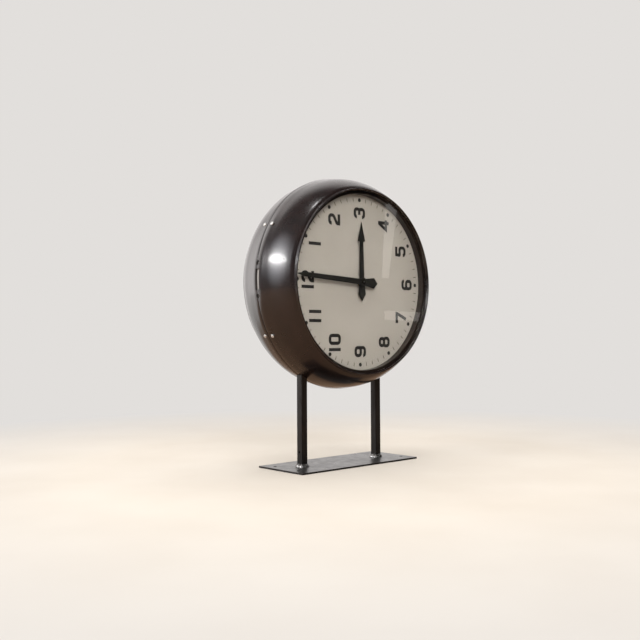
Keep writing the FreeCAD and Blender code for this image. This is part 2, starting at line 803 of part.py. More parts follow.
def make_hour_wheel(label, side):
    """The hour wheel on its pipe, which turns on the cannon and carries the hour hand."""
    body = new_body(label)
    wheel_end = "(%s + dim.wheel_thick)" % HOUR_WHEEL_DEPTH
    steps = [
        ("(%s + %s)" % (OUTER_FACE, HUB_RISE), PIPE_RADIUS),
        (HOUR_WHEEL_DEPTH, tip_radius("dim.hour_teeth", HOUR_MODULE)),
        (wheel_end, PIPE_RADIUS),
        (HOUR_HAND_DEPTH, "(%s - dim.hand_shoulder)" % PIPE_RADIUS),
        ("(%s + dim.hand_thick)" % HOUR_HAND_DEPTH, None),
    ]
    bore = "(%s + dim.running_gap)" % CANNON_RADIUS
    turn_profile(body, label + "Section", stepped(bore, steps))
    cut_gaps(
        body,
        label + "Gap",
        "dim.hour_teeth",
        HOUR_MODULE,
        TOOTH_GAP,
        HOUR_WHEEL_DEPTH,
        "dim.wheel_thick",
        0,
    )
    seat(body, side, turn=value("dim.minute_angle") / 12)
    return body


def make_hand(label, side, outline, depth, hub, hole, turn):
    """A hand cut from sheet, with its hub, pointing at 12 and turned to the time."""
    body = new_body(label)
    blade = new_sketch(body, label + "Blade", "XZ_Plane", depth)
    trace(blade, outline)
    extrude(body, blade, "dim.hand_thick")
    disc = new_sketch(body, label + "Hub", "XZ_Plane", depth)
    trace_circle(disc, "0", "0", hub)
    extrude(body, disc, "dim.hand_thick")
    bore = new_sketch(body, label + "Bore", "XZ_Plane", "%s + dim.hand_thick" % depth)
    trace_circle(bore, "0", "0", hole)
    extrude(body, bore, "dim.hand_thick", "Pocket")
    seat(body, side, turn=turn)
    return body


def both_edges(upper):
    """Mirror one edge of a hand, listed from tip to tail, into a closed outline."""
    lower = [(x, "-(%s)" % z) for x, z in reversed(upper) if z != "0"]
    return upper + lower


def make_hour_hand(label, side):
    edge = [
        ("-dim.hour_length", "0"),
        ("-(dim.hour_length - dim.hour_head)", "dim.hour_head_half"),
        ("-(dim.hour_length - dim.hour_head - dim.hour_head_slope)", "dim.hour_neck_half"),
        ("0", "dim.hour_root_half"),
        ("dim.hour_tail_wide", "dim.hour_tail_half"),
        ("dim.hour_tail_wide + dim.hour_tail_tip", "0"),
    ]
    hole = "(%s - dim.hand_shoulder + dim.fixed_gap)" % PIPE_RADIUS
    turn = value("dim.hour_angle")
    return make_hand(
        label, side, both_edges(edge), HOUR_HAND_DEPTH, "dim.hour_hub_radius", hole, turn
    )


def make_minute_hand(label, side):
    length = "(dim.view_radius - dim.minute_clear)"
    edge = [
        ("-" + length, "dim.minute_point_half"),
        ("-(%s - dim.minute_point)" % length, "dim.minute_neck_half"),
        ("0", "dim.minute_root_half"),
        ("dim.minute_tail_wide", "dim.minute_tail_half"),
        ("dim.minute_tail_wide + dim.minute_tail_tip", "0"),
    ]
    hole = "(%s - dim.hand_shoulder + dim.fixed_gap)" % CANNON_RADIUS
    turn = value("dim.minute_angle")
    return make_hand(
        label, side, both_edges(edge), MINUTE_HAND_DEPTH, "dim.minute_hub_radius", hole, turn
    )


def make_hand_nut(label, side):
    radius = value("dim.nut_radius")
    depth = value(NUT_DEPTH)
    height = value("dim.nut_height")
    hexagon = []
    for step in range(7):
        angle = math.radians(60 * step)
        hexagon.append(Vector(radius * math.cos(angle), -depth, radius * math.sin(angle)))
    nut = Part.Face(Part.makePolygon(hexagon)).extrude(Vector(0, -height, 0))
    bore = Part.makeCylinder(
        value("dim.arbor_radius + dim.fixed_gap"), height + 2, Vector(0, 1 - depth, 0), Vector(0, -1, 0)
    )
    piece = doc.addObject("Part::Feature", label)
    piece.Label = label
    piece.Shape = nut.cut(bore)
    seat(piece, side, turn=value("dim.minute_angle"))
    return piece


def coil_box(name, sign, x, length, side):
    """A square block centred on a core, along X."""
    y = "-(%s) - %s / 2" % (MID_DEPTH, side)
    z = "%sdim.core_offset - %s / 2" % (sign, side)
    return box(name, x, y, z, length, side, side)


def make_yoke(label, side):
    """The yoke bar between the plates, with its two square cores."""
    bar_x = "dim.core_start + dim.core_length"
    bar_y = "-(%s) - dim.frame_gap" % INNER_FACE
    bar = box(
        label + "Bar", bar_x, bar_y, "-dim.yoke_half", "dim.yoke_thick", "dim.frame_gap", "2 * dim.yoke_half"
    )
    cores = []
    for sign in ("-", ""):
        name = label + "Core" + ("Low" if sign else "High")
        cores.append(coil_box(name, sign, "dim.core_start", "dim.core_length", "dim.core_side"))
    piece = join(label, [bar] + cores)
    seat(piece, side)
    return piece


def make_bobbins(label, side):
    """Two bobbins, each a square tube between square cheeks."""
    solids = []
    for sign in ("-", ""):
        name = label + ("Low" if sign else "High")
        tube_side = "(dim.core_side + 2 * dim.tube_wall + 2 * dim.hole_gap)"
        far = "%s + %s - dim.cheek_thick" % (COIL_START, COIL_LENGTH)
        tube = coil_box(name + "Tube", sign, COIL_START, COIL_LENGTH, tube_side)
        near = coil_box(name + "Near", sign, COIL_START, "dim.cheek_thick", CHEEK_SIDE)
        end = coil_box(name + "Far", sign, far, "dim.cheek_thick", CHEEK_SIDE)
        core_side = "(dim.core_side + 2 * dim.hole_gap)"
        hole = coil_box(name + "Hole", sign, COIL_START + " - 1", COIL_LENGTH + " + 2", core_side)
        solids.append(cut(name + "Bobbin", join(name + "Outside", [tube, near, end]), hole))
    piece = doc.addObject("Part::Compound", label)
    piece.Label = label
    piece.Links = solids
    seat(piece, side)
    return piece


def make_windings(label, side):
    """The wound copper on each bobbin, round outside and square inside."""
    solids = []
    for sign in ("-", ""):
        name = label + ("Low" if sign else "High")
        winding = doc.addObject("Part::Cylinder", name + "Round")
        winding.setExpression("Radius", CHEEK_SIDE + " / 2 - dim.winding_inset")
        winding.setExpression("Height", COIL_LENGTH + " - 2 * dim.cheek_thick")
        winding.Placement = Placement(Vector(0, 0, 0), Rotation(Vector(0, 1, 0), 90))
        winding.setExpression(".Placement.Base.x", COIL_START + " + dim.cheek_thick")
        winding.setExpression(".Placement.Base.y", "-(%s)" % MID_DEPTH)
        winding.setExpression(".Placement.Base.z", sign + "dim.core_offset")
        tube_side = "(dim.core_side + 2 * dim.tube_wall + 3 * dim.hole_gap)"
        hole = coil_box(name + "Hole", sign, COIL_START, COIL_LENGTH, tube_side)
        solids.append(cut(name + "Wound", winding, hole))
    piece = doc.addObject("Part::Compound", label)
    piece.Label = label
    piece.Links = solids
    seat(piece, side)
    return piece


def make_armature(label, side):
    """The iron bar before the cores, its arbor, and the arm that carries the drive pawl on a pin."""
    body = new_body(label)
    near = ARMATURE_X
    far = "(%s + dim.armature_thick)" % ARMATURE_X
    middle = "(%s + dim.armature_thick / 2)" % ARMATURE_X
    bar = new_sketch(body, label + "Bar", "XZ_Plane", "%s - dim.armature_width / 2" % MID_DEPTH)
    trace(bar, rectangle(near, far, "-" + ARMATURE_PIVOT, "dim.armature_high"))
    extrude(body, bar, "dim.armature_width")
    arm = new_sketch(body, label + "Arm", "XZ_Plane", ARM_DEPTH)
    corners = [
        (near, "dim.armature_high - dim.arm_width"),
        (far, "dim.armature_high - dim.arm_width"),
        (far, "dim.armature_high"),
        ("dim.pawl_side", PAWL_RISE + " + dim.arm_width / 2"),
        ("dim.pawl_side", PAWL_RISE + " - dim.arm_width / 2"),
    ]
    trace(arm, corners)
    extrude(body, arm, "dim.arm_thick")
    pin = new_sketch(body, label + "Pin", "XZ_Plane", ARM_DEPTH + " + dim.arm_thick")
    trace_circle(pin, "dim.pawl_side", PAWL_RISE, "dim.pin_radius")
    pin_length = "dim.arm_thick + dim.lever_thick + 3 * dim.lever_gap"
    extrude(body, pin, pin_length).Reversed = True
    arbor = new_sketch(body, label + "Arbor", "XZ_Plane", INNER_FACE + " + dim.lever_gap")
    trace_circle(arbor, middle, "-" + ARMATURE_PIVOT, "dim.arbor_radius")
    extrude(body, arbor, "dim.frame_gap - 2 * dim.lever_gap")
    pivot = new_sketch(body, label + "Pivot", "XZ_Plane", INNER_PLATE)
    trace_circle(pivot, middle, "-" + ARMATURE_PIVOT, "dim.pivot_radius")
    extrude(body, pivot, "dim.frame_gap + 2 * dim.frame_thick")
    seat(body, side)
    return body


def make_lever(label, side, x, z, nose_angle, across, outward, inward):
    """A flat lever from its eye to a nose that stands just clear of the ratchet wheel.

    The nose lies at nose_angle from 12 o'clock. The lever's corners beside the nose are steps from it, and
    those beside the eye lie along the lever's cross direction, all in shares of the lever's half width.
    """
    body = new_body(label)
    reach = "(dim.ratchet_radius + dim.nose_gap)"
    nose_x = "-%s * cos(%s)" % (reach, nose_angle)
    nose_z = "%s * sin(%s)" % (reach, nose_angle)
    sketch = new_sketch(body, label + "Outline", "XZ_Plane", LEVER_DEPTH)

    def corner(from_x, from_z, step):
        return "%s + dim.lever_half * %g" % (from_x, step[0]), "%s + dim.lever_half * %g" % (from_z, step[1])

    corners = [
        (nose_x, nose_z),
        corner(nose_x, nose_z, inward),
        corner(x, z, (-across[0], -across[1])),
        corner(x, z, across),
        corner(nose_x, nose_z, outward),
    ]
    trace(sketch, corners)
    extrude(body, sketch, "dim.lever_thick")
    eye = new_sketch(body, label + "Eye", "XZ_Plane", LEVER_DEPTH)
    trace_circle(eye, x, z, "dim.eye_radius")
    extrude(body, eye, "dim.lever_thick")
    bore = new_sketch(body, label + "Bore", "XZ_Plane", LEVER_DEPTH + " + dim.lever_thick")
    trace_circle(bore, x, z, "(dim.pin_radius + dim.running_gap)")
    extrude(body, bore, "dim.lever_thick", "Pocket")
    seat(body, side)
    return body


def make_studs(label, side):
    """Two studs riveted in the outer plate: one outside for the motion wheel, one inside for the click."""
    motion = doc.addObject("Part::Cylinder", label + "Motion")
    motion.setExpression("Radius", "dim.arbor_radius")
    motion.setExpression("Height", LEAF_RISE + " + dim.end_gap")
    motion.Placement = Placement(Vector(0, 0, 0), Rotation(Vector(1, 0, 0), 90))
    motion.setExpression(".Placement.Base.x", "-dim.wheel_spacing")
    motion.setExpression(".Placement.Base.y", "-(%s)" % OUTER_FACE)
    parts = []
    for name, radius, end in (
        ("Collar", "dim.collar_radius", ARM_DEPTH),
        ("Stud", "dim.pin_radius", LEVER_DEPTH + " - dim.lever_gap"),
    ):
        rod = doc.addObject("Part::Cylinder", label + name)
        rod.setExpression("Radius", radius)
        rod.setExpression("Height", "%s - (%s)" % (OUTER_PLATE, end))
        rod.Placement = Placement(Vector(0, 0, 0), Rotation(Vector(1, 0, 0), -90))
        rod.setExpression(".Placement.Base.x", "-dim.click_side")
        rod.setExpression(".Placement.Base.y", "-(%s)" % OUTER_PLATE)
        rod.setExpression(".Placement.Base.z", "-" + CLICK_RISE)
        parts.append(rod)
    click = join(label + "Click", parts)
    piece = doc.addObject("Part::Compound", label)
    piece.Label = label
    piece.Links = [motion, click]
    seat(piece, side)
    return piece


def make_side(side):
    """All the pieces of one side, from the case inwards."""
    dial_hole = PIPE_RADIUS + " + dim.dial_hole_gap"
    pieces = [
        make_case(side + "_case", side),
        make_disc(side + "_glass", side, RING_RADIUS + " + dim.glass_gap", GLASS_BACK, MOUTH_DEPTH),
        make_disc(side + "_reveal_ring", side, RING_RADIUS, "dim.dial_depth", GLASS_BACK, "dim.view_radius"),
        make_disc(side + "_dial", side, RING_RADIUS, DIAL_BACK, "dim.dial_depth", dial_hole),
        make_brackets(side + "_dial_brackets", side),
        corner_posts(side + "_dial_posts", side, OUTER_FACE, POST_LENGTH),
        corner_posts(side + "_pillars", side, INNER_FACE, "dim.frame_gap"),
        make_frame_plate(side + "_outer_plate", side, OUTER_PLATE, "dim.arbor_radius"),
        make_frame_plate(side + "_inner_plate", side, INNER_PLATE, "dim.pivot_radius"),
        make_minute_arbor(side + "_minute_arbor", side),
        make_ratchet(side + "_ratchet_wheel", side),
        make_cannon(side + "_cannon_pinion", side),
        make_motion_wheel(side + "_motion_wheel", side),
        make_hour_wheel(side + "_hour_wheel", side),
        make_hour_hand(side + "_hour_hand", side),
        make_minute_hand(side + "_minute_hand", side),
        make_hand_nut(side + "_hand_nut", side),
        make_studs(side + "_pivot_studs", side),
        make_yoke(side + "_magnet_yoke", side),
        make_bobbins(side + "_coil_bobbins", side),
        make_windings(side + "_coil_windings", side),
        make_armature(side + "_armature_lever", side),
        make_lever(
            side + "_drive_pawl",
            side,
            "dim.pawl_side",
            PAWL_RISE,
            "dim.pawl_nose_angle",
            across=(-0.45, 0.9),
            outward=(-0.67, 1.1),
            inward=(0.9, 1.03),
        ),
        make_lever(
            side + "_backstop_click",
            side,
            "-dim.click_side",
            "-" + CLICK_RISE,
            "-dim.click_nose_angle",
            across=(-0.9, -0.45),
            outward=(-0.97, -1.33),
            inward=(0.7, -1.17),
        ),
    ]
    return pieces


def make_clock():
    pieces = [
        make_base_plate(),
        make_leg("leg_left", "-", 0),
        make_leg("leg_right", "", 180),
        make_weld("weld_left", "-"),
        make_weld("weld_right", ""),
        make_band(),
        make_seam_screws(),
        make_terminal_block(),
    ]
    return pieces + make_side("front") + make_side("rear")


def check_and_export(pieces):
    """Stop at any feature that failed and any shape that isn't sound, then write one file for each piece."""
    doc.recompute()
    for item in doc.Objects:
        if "Invalid" in item.State or "Error" in item.State:
            raise RuntimeError("%s failed: %s" % (item.Name, item.State))
    os.makedirs("parts", exist_ok=True)
    for piece in pieces:
        shape = piece.Shape
        if shape.isNull() or not shape.isValid() or not shape.Solids:
            raise RuntimeError(piece.Label + " has no sound solid")
        print("%-26s %2d solids %12.1f mm3" % (piece.Label, len(shape.Solids), shape.Volume))
        shape.exportStep("parts/%s.step" % piece.Label)


check_and_export(make_clock())
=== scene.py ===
import bmesh
import bpy
import math
import numpy as np
import random
from mathutils import Matrix, Vector, noise


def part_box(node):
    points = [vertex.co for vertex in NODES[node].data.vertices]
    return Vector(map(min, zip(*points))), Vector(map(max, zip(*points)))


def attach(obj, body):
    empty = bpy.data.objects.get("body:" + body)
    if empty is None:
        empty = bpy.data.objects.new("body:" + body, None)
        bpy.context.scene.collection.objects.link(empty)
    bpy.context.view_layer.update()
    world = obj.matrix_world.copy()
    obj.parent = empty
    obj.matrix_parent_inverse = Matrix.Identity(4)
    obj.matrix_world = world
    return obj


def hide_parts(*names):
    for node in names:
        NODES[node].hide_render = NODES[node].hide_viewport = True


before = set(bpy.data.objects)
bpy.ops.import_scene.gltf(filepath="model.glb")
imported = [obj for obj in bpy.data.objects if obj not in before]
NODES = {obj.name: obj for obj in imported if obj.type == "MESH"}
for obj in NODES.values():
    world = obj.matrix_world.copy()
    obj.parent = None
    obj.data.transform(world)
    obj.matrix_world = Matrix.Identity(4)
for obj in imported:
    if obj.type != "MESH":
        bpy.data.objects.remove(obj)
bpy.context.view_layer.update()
MM = 0.001
CENTRE = 0.318  # height of the clock's axis, in metres

# Sizes in millimetres, as the frame has them, except that the mouth and the inner edge of the bead
# are wider here, so that more of the dial shows. A pair is a radius and a depth from the seam.
SEAM, CASE_RADIUS, DRAFT_RADIUS, DRAFT_DEPTH = 0.5, 186.5, 183.35, 20.6
SHOULDER, RIM = (167.6, 59.3), (160.9, 66)
BEAD_OUT, BEAD_IN, MOUTH = (160.4, 70.5), (158.6, 70.5), (157, 64.5)
CASE_BOW, SHOULDER_BOW = 90, 22
INNER_RADIUS, INNER_DEPTH, INNER_SHOULDER = 181.7, 15.0, 166.6
DIAL_DEPTH = 50
SLOT_HALF_WIDTH, SLOT_HALF_LENGTH = 4.5, 17.5
HOLE_RADIUS, HOLE_HEIGHT = 4, 27.7
LEG_SIDE, LEG_WALL, LEG_X, LEG_FOOT, LEG_CLEAR = 12.7, 1.6, 89.5, 3, 0.3
CROSS_HOLE_RADIUS, CROSS_HOLE_HEIGHT = 1.75, 27.7
SCREW_ANGLE, SCREW_DEPTH, SCREW_HOLE = 30, 9.5, 2.1


# ---------------------------------------------------------------- shader helpers


def rgb(red, green, blue):
    """A colour written as on a screen, from 0 to 255, for a socket that wants linear light."""
    linear = []
    for channel in (red, green, blue):
        share = channel / 255
        linear.append(share / 12.92 if share <= 0.04045 else ((share + 0.055) / 1.055) ** 2.4)
    return (*linear, 1.0)


class Nodes:
    """Short calls for the nodes of one tree. What they take is a number, a colour or another socket."""

    def __init__(self, tree, place):
        self.tree = tree
        tree.nodes.clear()
        self.place = self.add("TexCoord").outputs[place]

    def add(self, kind):
        return self.tree.nodes.new("ShaderNode" + kind)

    def link(self, source, target):
        self.tree.links.new(source, target)

    def give(self, socket, given):
        if isinstance(given, (tuple, float, int)):
            socket.default_value = given
        else:
            self.link(given, socket)

    def stretched(self, scale):
        mapping = self.add("Mapping")
        mapping.inputs["Scale"].default_value = scale
        self.link(self.place, mapping.inputs["Vector"])
        return mapping.outputs[0]

    def noise(self, scale, detail=4, rough=0.5, warp=0.0, place=None):
        node = self.add("TexNoise")
        node.inputs["Scale"].default_value = scale
        node.inputs["Detail"].default_value = detail
        node.inputs["Roughness"].default_value = rough
        node.inputs["Distortion"].default_value = warp
        self.link(place or self.place, node.inputs["Vector"])
        return node.outputs["Fac"]

    def ramp(self, factor, *stops):
        node = self.add("ValToRGB")
        elements = node.color_ramp.elements
        while len(elements) < len(stops):
            elements.new(0.5)
        for element, (position, colour) in zip(elements, stops):
            element.position = position
            element.color = colour if isinstance(colour, tuple) else (colour, colour, colour, 1)
        self.link(factor, node.inputs[0])
        return node.outputs[0]

    def span(self, factor, low, high, start=0.0, end=1.0):
        """A value that goes from low to high while the factor goes from start to end."""
        node = self.add("MapRange")
        for key, given in (("From Min", start), ("From Max", end), ("To Min", low), ("To Max", high)):
            node.inputs[key].default_value = given
        self.link(factor, node.inputs["Value"])
        return node.outputs[0]

    def mix(self, factor, first, second):
        node = self.add("Mix")
        node.data_type = "RGBA"
        for index, given in ((0, factor), (6, first), (7, second)):
            self.give(node.inputs[index], given)
        return node.outputs[2]

    def math(self, kind, *values):
        node = self.add("Math")
        node.operation = kind
        for socket, given in zip(node.inputs, values):
            self.give(socket, given)
        return node.outputs[0]

    def split(self, vector):
        """The X, Y and Z of a vector."""
        node = self.add("SeparateXYZ")
        self.link(vector, node.inputs[0])
        return node.outputs

    def length(self, vector):
        node = self.add("VectorMath")
        node.operation = "LENGTH"
        self.link(vector, node.inputs[0])
        return node.outputs["Value"]

    def scaled(self, vector, factor):
        node = self.add("VectorMath")
        node.operation = "SCALE"
        self.give(node.inputs[0], vector)
        self.give(node.inputs["Scale"], factor)
        return node.outputs[0]

    def bump(self, height, distance, strength=1.0, after=None):
        node = self.add("Bump")
        node.inputs["Strength"].default_value = strength
        node.inputs["Distance"].default_value = distance
        self.link(height, node.inputs["Height"])
        if after:
            self.link(after, node.inputs["Normal"])
        return node.outputs[0]

    def light(self, kind, colour, strength=1.0):
        """The shader of an Emission or a Background."""
        node = self.add(kind)
        self.give(node.inputs["Color"], colour)
        self.give(node.inputs["Strength"], strength)
        return node.outputs[0]

    def blend(self, factor, first, second):
        """The first shader where the factor is 0, and the second where it is 1."""
        node = self.add("MixShader")
        for socket, given in zip(node.inputs, (factor, first, second)):
            self.give(socket, given)
        return node.outputs[0]


class Shader(Nodes):
    """A material with one Principled shader."""

    def __init__(self, name, **values):
        self.material = bpy.data.materials.new(name)
        self.material.use_nodes = True
        super().__init__(self.material.node_tree, "Object")
        self.output = self.add("OutputMaterial")
        self.main = self.add("BsdfPrincipled")
        self.show(self.main.outputs[0])
        for key, given in values.items():
            self.main.inputs[key.replace("_", " ")].default_value = given

    def show(self, shader):
        """Make a shader the one that the material shows."""
        self.link(shader, self.output.inputs[0])
        return self.material

    def feed(self, **sources):
        for key, source in sources.items():
            self.link(source, self.main.inputs[key.replace("_", " ")])
        return self


# ---------------------------------------------------------------- materials

# Heights in metres between which the plate's edge, painted near black as shade, gives way to its top.
SHADED_EDGE_END, TOP_START = 0.0025, 0.00295


def phenolic():
    """Dark brown moulded phenolic: faint reddish mottling, a worn polish and fine scratches."""
    s = Shader("phenolic", IOR=1.56, Coat_Weight=0.35, Coat_Roughness=0.07, Coat_IOR=1.5)
    cloud = s.noise(14, 6, 0.62, 1.4)
    flow = s.noise(55, 5, 0.6, 2.2, s.stretched((1, 1, 0.45)))
    dark = s.ramp(cloud, (0.32, rgb(17, 11, 10)), (0.55, rgb(24, 15, 14)), (0.74, rgb(34, 22, 19)))
    mottled = s.mix(s.span(flow, 0, 0.4, 0.5, 0.78), dark, rgb(42, 27, 23))
    dust = s.ramp(s.noise(420, 2, 0.4), (0.82, 0.0), (0.86, 1.0))
    colour = s.mix(s.math("MULTIPLY", dust, 0.1), mottled, rgb(110, 98, 90))
    wear = s.noise(7, 5, 0.6, 0.6)
    haze = s.noise(45, 2, 0.5, 0.4)
    rough = s.math("ADD", s.span(wear, 0.21, 0.29, 0.3, 0.7), s.span(haze, -0.02, 0.02, 0.3, 0.7))
    polish = s.noise(1, 2, 0.4, 0, s.stretched((12, 260, 12)))
    wave = s.bump(s.noise(16, 1, 0.4), 0.0005, 0.08)
    lines = s.bump(polish, 0.00001, 0.1, wave)
    return s.feed(Base_Color=colour, Roughness=rough, Normal=lines, Coat_Normal=wave).material


def mill_steel(name, low, high, rust):
    """Bare rolled steel, left black from the mill, with rubbed streaks along its length."""
    s = Shader(name, Metallic=0.6)
    streak = s.noise(1, 6, 0.6, 0.2, s.stretched((420, 420, 22)))
    patch = s.noise(38, 6, 0.62, 0.8)
    base = s.ramp(streak, (0.3, low), (0.7, high))
    spots = s.ramp(patch, (0.56, 0.0), (0.72, 1.0))
    colour = s.mix(s.math("MULTIPLY", spots, 0.5), base, rust)
    rough = s.span(s.noise(110, 5, 0.6, 0.4), 0.3, 0.55, 0.3, 0.7)
    grain = s.bump(s.noise(1, 4, 0.6, 0, s.stretched((2200, 2200, 90))), 0.00005, 0.5)
    pits = s.bump(s.noise(700, 3, 0.6), 0.00008, 0.4, grain)
    return s.feed(Base_Color=colour, Roughness=rough, Normal=pits).material


def plate_steel():
    """The flat plate: dark rolled steel, oiled and rubbed lighter in clouds, with its edges painted near
    black as shade.
    """
    s = Shader("plate_steel")
    cloud = s.noise(26, 7, 0.62, 0.9)
    grain = s.noise(1, 4, 0.6, 0, s.stretched((30, 1300, 600)))
    top = s.ramp(cloud, (0.3, rgb(70, 69, 69)), (0.52, rgb(80, 79, 78)), (0.72, rgb(92, 90, 87)))
    rubbed = s.mix(s.span(grain, 0, 0.3, 0.5, 0.8), top, rgb(116, 112, 107))
    # face is 0 on the plate's edges and 1 on its top: the edges get a near black, rough, barely metal finish
    # that is painted shade.
    face = s.span(s.split(s.place)["Z"], 0, 1, SHADED_EDGE_END, TOP_START)
    colour = s.mix(face, rgb(20, 18, 17), rubbed)
    rough = s.math("MAXIMUM", s.span(face, 0.7, 0), s.span(s.noise(60, 5, 0.6, 0.3), 0.26, 0.4, 0.3, 0.7))
    lines = s.bump(grain, 0.00003, 0.3)
    return s.feed(Base_Color=colour, Roughness=rough, Metallic=s.span(face, 0.1, 0.8), Normal=lines).material


def welded():
    """Weld metal: grey silver with soot and heat tint between its ripples."""
    s = Shader("weld_metal", Metallic=0.9)
    cloud = s.noise(240, 6, 0.65, 0.8)
    soot, grey = (0.3, rgb(46, 42, 40)), (0.44, rgb(118, 114, 110))
    pale, bright = (0.58, rgb(168, 167, 166)), (0.72, rgb(205, 205, 204))
    colour = s.ramp(cloud, soot, grey, pale, bright)
    rough = s.span(s.noise(500, 4, 0.6), 0.3, 0.62, 0.3, 0.7)
    lumps = s.bump(s.noise(900, 5, 0.65), 0.0002, 0.6)
    return s.feed(Base_Color=colour, Roughness=rough, Normal=lumps).material


def bright_steel():
    """Plated steel, with a soft brushed grain and a little tarnish."""
    s = Shader("bright_steel", Metallic=1.0)
    tarnish = s.noise(130, 5, 0.6, 0.5)
    colour = s.ramp(tarnish, (0.35, rgb(150, 146, 140)), (0.6, rgb(196, 194, 190)), (0.8, rgb(214, 212, 208)))
    rough = s.span(s.noise(600, 3, 0.5), 0.2, 0.36, 0.3, 0.7)
    grain = s.bump(s.noise(1, 3, 0.5, 0, s.stretched((1500, 200, 1500))), 0.00003, 0.3)
    return s.feed(Base_Color=colour, Roughness=rough, Normal=grain).material


def alloy(name, low, high, metallic):
    """Dull white alloy, scattering most of its light."""
    s = Shader(name, Metallic=metallic)
    colour = s.ramp(s.noise(90, 5, 0.6, 0.4), (0.32, low), (0.7, high))
    rough = s.span(s.noise(400, 4, 0.6), 0.36, 0.5, 0.3, 0.7)
    grain = s.bump(s.noise(900, 3, 0.5), 0.00003, 0.3)
    return s.feed(Base_Color=colour, Roughness=rough, Normal=grain).material


def painted(name, low, high, rough_low, rough_high, scale=60.0, grain=900.0, depth=0.00005):
    """Old sprayed paint: two near tones in clouds, with fine orange peel."""
    s = Shader(name, IOR=1.5)
    colour = s.ramp(s.noise(scale, 6, 0.6, 0.5), (0.33, low), (0.67, high))
    rough = s.span(s.noise(scale * 3, 4, 0.6), rough_low, rough_high, 0.3, 0.7)
    peel = s.bump(s.noise(grain, 3, 0.5), depth, 0.35)
    return s.feed(Base_Color=colour, Roughness=rough, Normal=peel).material


def dial_face():
    """Stove enamelled dial, gone a little warm with age, faintly clouded and specked."""
    s = Shader("dial_enamel", IOR=1.46)
    cloud = s.noise(9, 6, 0.55, 0.7)
    base = s.ramp(cloud, (0.3, rgb(179, 172, 163)), (0.55, rgb(185, 178, 169)), (0.75, rgb(191, 184, 175)))
    specks = s.ramp(s.noise(760, 2, 0.4), (0.74, 0.0), (0.79, 1.0))
    colour = s.mix(s.math("MULTIPLY", specks, 0.18), base, rgb(120, 106, 88))
    rough = s.span(s.noise(80, 4, 0.6), 0.5, 0.66, 0.3, 0.7)
    peel = s.bump(s.noise(1400, 2, 0.5), 0.00002, 0.3)
    return s.feed(Base_Color=colour, Roughness=rough, Normal=peel).material


def metal(name, low, high, rough_low, rough_high, stretch):
    s = Shader(name, Metallic=1.0)
    colour = s.ramp(s.noise(120, 6, 0.6, 0.6), (0.32, low), (0.7, high))
    rough = s.span(s.noise(400, 4, 0.6), rough_low, rough_high, 0.3, 0.7)
    grain = s.bump(s.noise(1, 3, 0.5, 0, s.stretched(stretch)), 0.00003, 0.4)
    return s.feed(Base_Color=colour, Roughness=rough, Normal=grain).material


def enamelled_wire():
    """Coil windings: turns of enamelled copper side by side."""
    s = Shader("enamelled_wire", Metallic=0.7, Coat_Weight=0.6, Coat_Roughness=0.15)
    wave = s.add("TexWave")
    wave.bands_direction = "X"
    wave.inputs["Scale"].default_value = 380
    wave.inputs["Distortion"].default_value = 0.6
    wave.inputs["Detail"].default_value = 1
    s.link(s.place, wave.inputs["Vector"])
    turns = wave.outputs["Fac"]
    colour = s.ramp(turns, (0.1, rgb(66, 28, 14)), (0.6, rgb(150, 74, 38)), (0.9, rgb(190, 104, 58)))
    rough = s.span(s.noise(300, 3, 0.5), 0.28, 0.42, 0.3, 0.7)
    return s.feed(Base_Color=colour, Roughness=rough, Normal=s.bump(turns, 0.00015, 0.8)).material


def window_glass():
    """Clear old glass: it lets the lamps through to the dial and keeps a faint greasy film."""
    s = Shader("window_glass", Transmission_Weight=1.0, IOR=1.5, Base_Color=rgb(247, 249, 248))
    film = s.noise(11, 5, 0.6, 0.8)
    s.feed(Roughness=s.span(film, 0.0, 0.02, 0.4, 0.8), Normal=s.bump(s.noise(9, 2, 0.4), 0.0003, 0.03))
    shadow = s.add("LightPath").outputs["Is Shadow Ray"]
    clear = s.add("BsdfTransparent").outputs[0]
    return s.show(s.blend(shadow, s.main.outputs[0], clear))


MATERIALS = {
    "case": phenolic(),
    "dark_steel": mill_steel("mill_steel", rgb(26, 25, 25), rgb(45, 44, 43), rgb(50, 40, 34)),
    "plate": plate_steel(),
    "weld": welded(),
    "bright_steel": bright_steel(),
    "band": alloy("band_alloy", rgb(206, 204, 202), rgb(226, 225, 223), 0.2),
    "screw": alloy("screw_plating", rgb(206, 204, 202), rgb(232, 231, 229), 0.6),
    "reveal": painted("reveal_paint", rgb(34, 26, 23), rgb(47, 37, 32), 0.3, 0.45),
    "dial": dial_face(),
    "print": painted("dial_print", rgb(13, 11, 10), rgb(20, 17, 16), 0.5, 0.62, 200.0),
    "tick": painted("tick_print", rgb(66, 60, 53), rgb(84, 77, 68), 0.5, 0.6, 300.0),
    "hand": painted("hand_lacquer", rgb(11, 10, 7), rgb(18, 16, 12), 0.45, 0.6, 90.0),
    "glass": window_glass(),
    "brass": metal("clock_brass", rgb(150, 116, 58), rgb(196, 160, 92), 0.2, 0.36, (1500, 1500, 120)),
    "winding": enamelled_wire(),
    "terminal": painted("bobbin_fibre", rgb(66, 40, 28), rgb(92, 58, 40), 0.45, 0.6, 140.0, 500.0, 0.0001),
    "blackened": metal("blackened_brass", rgb(30, 26, 20), rgb(52, 44, 32), 0.35, 0.5, (900, 900, 900)),
}
SLOTS = {
    "dark_steel": ["leg_left", "leg_right"],
    "plate": ["base_plate"],
    "weld": ["weld_left", "weld_right"],
    "band": ["joining_band"],
    "screw": ["seam_screws"],
    "terminal": ["terminal_block"],
}
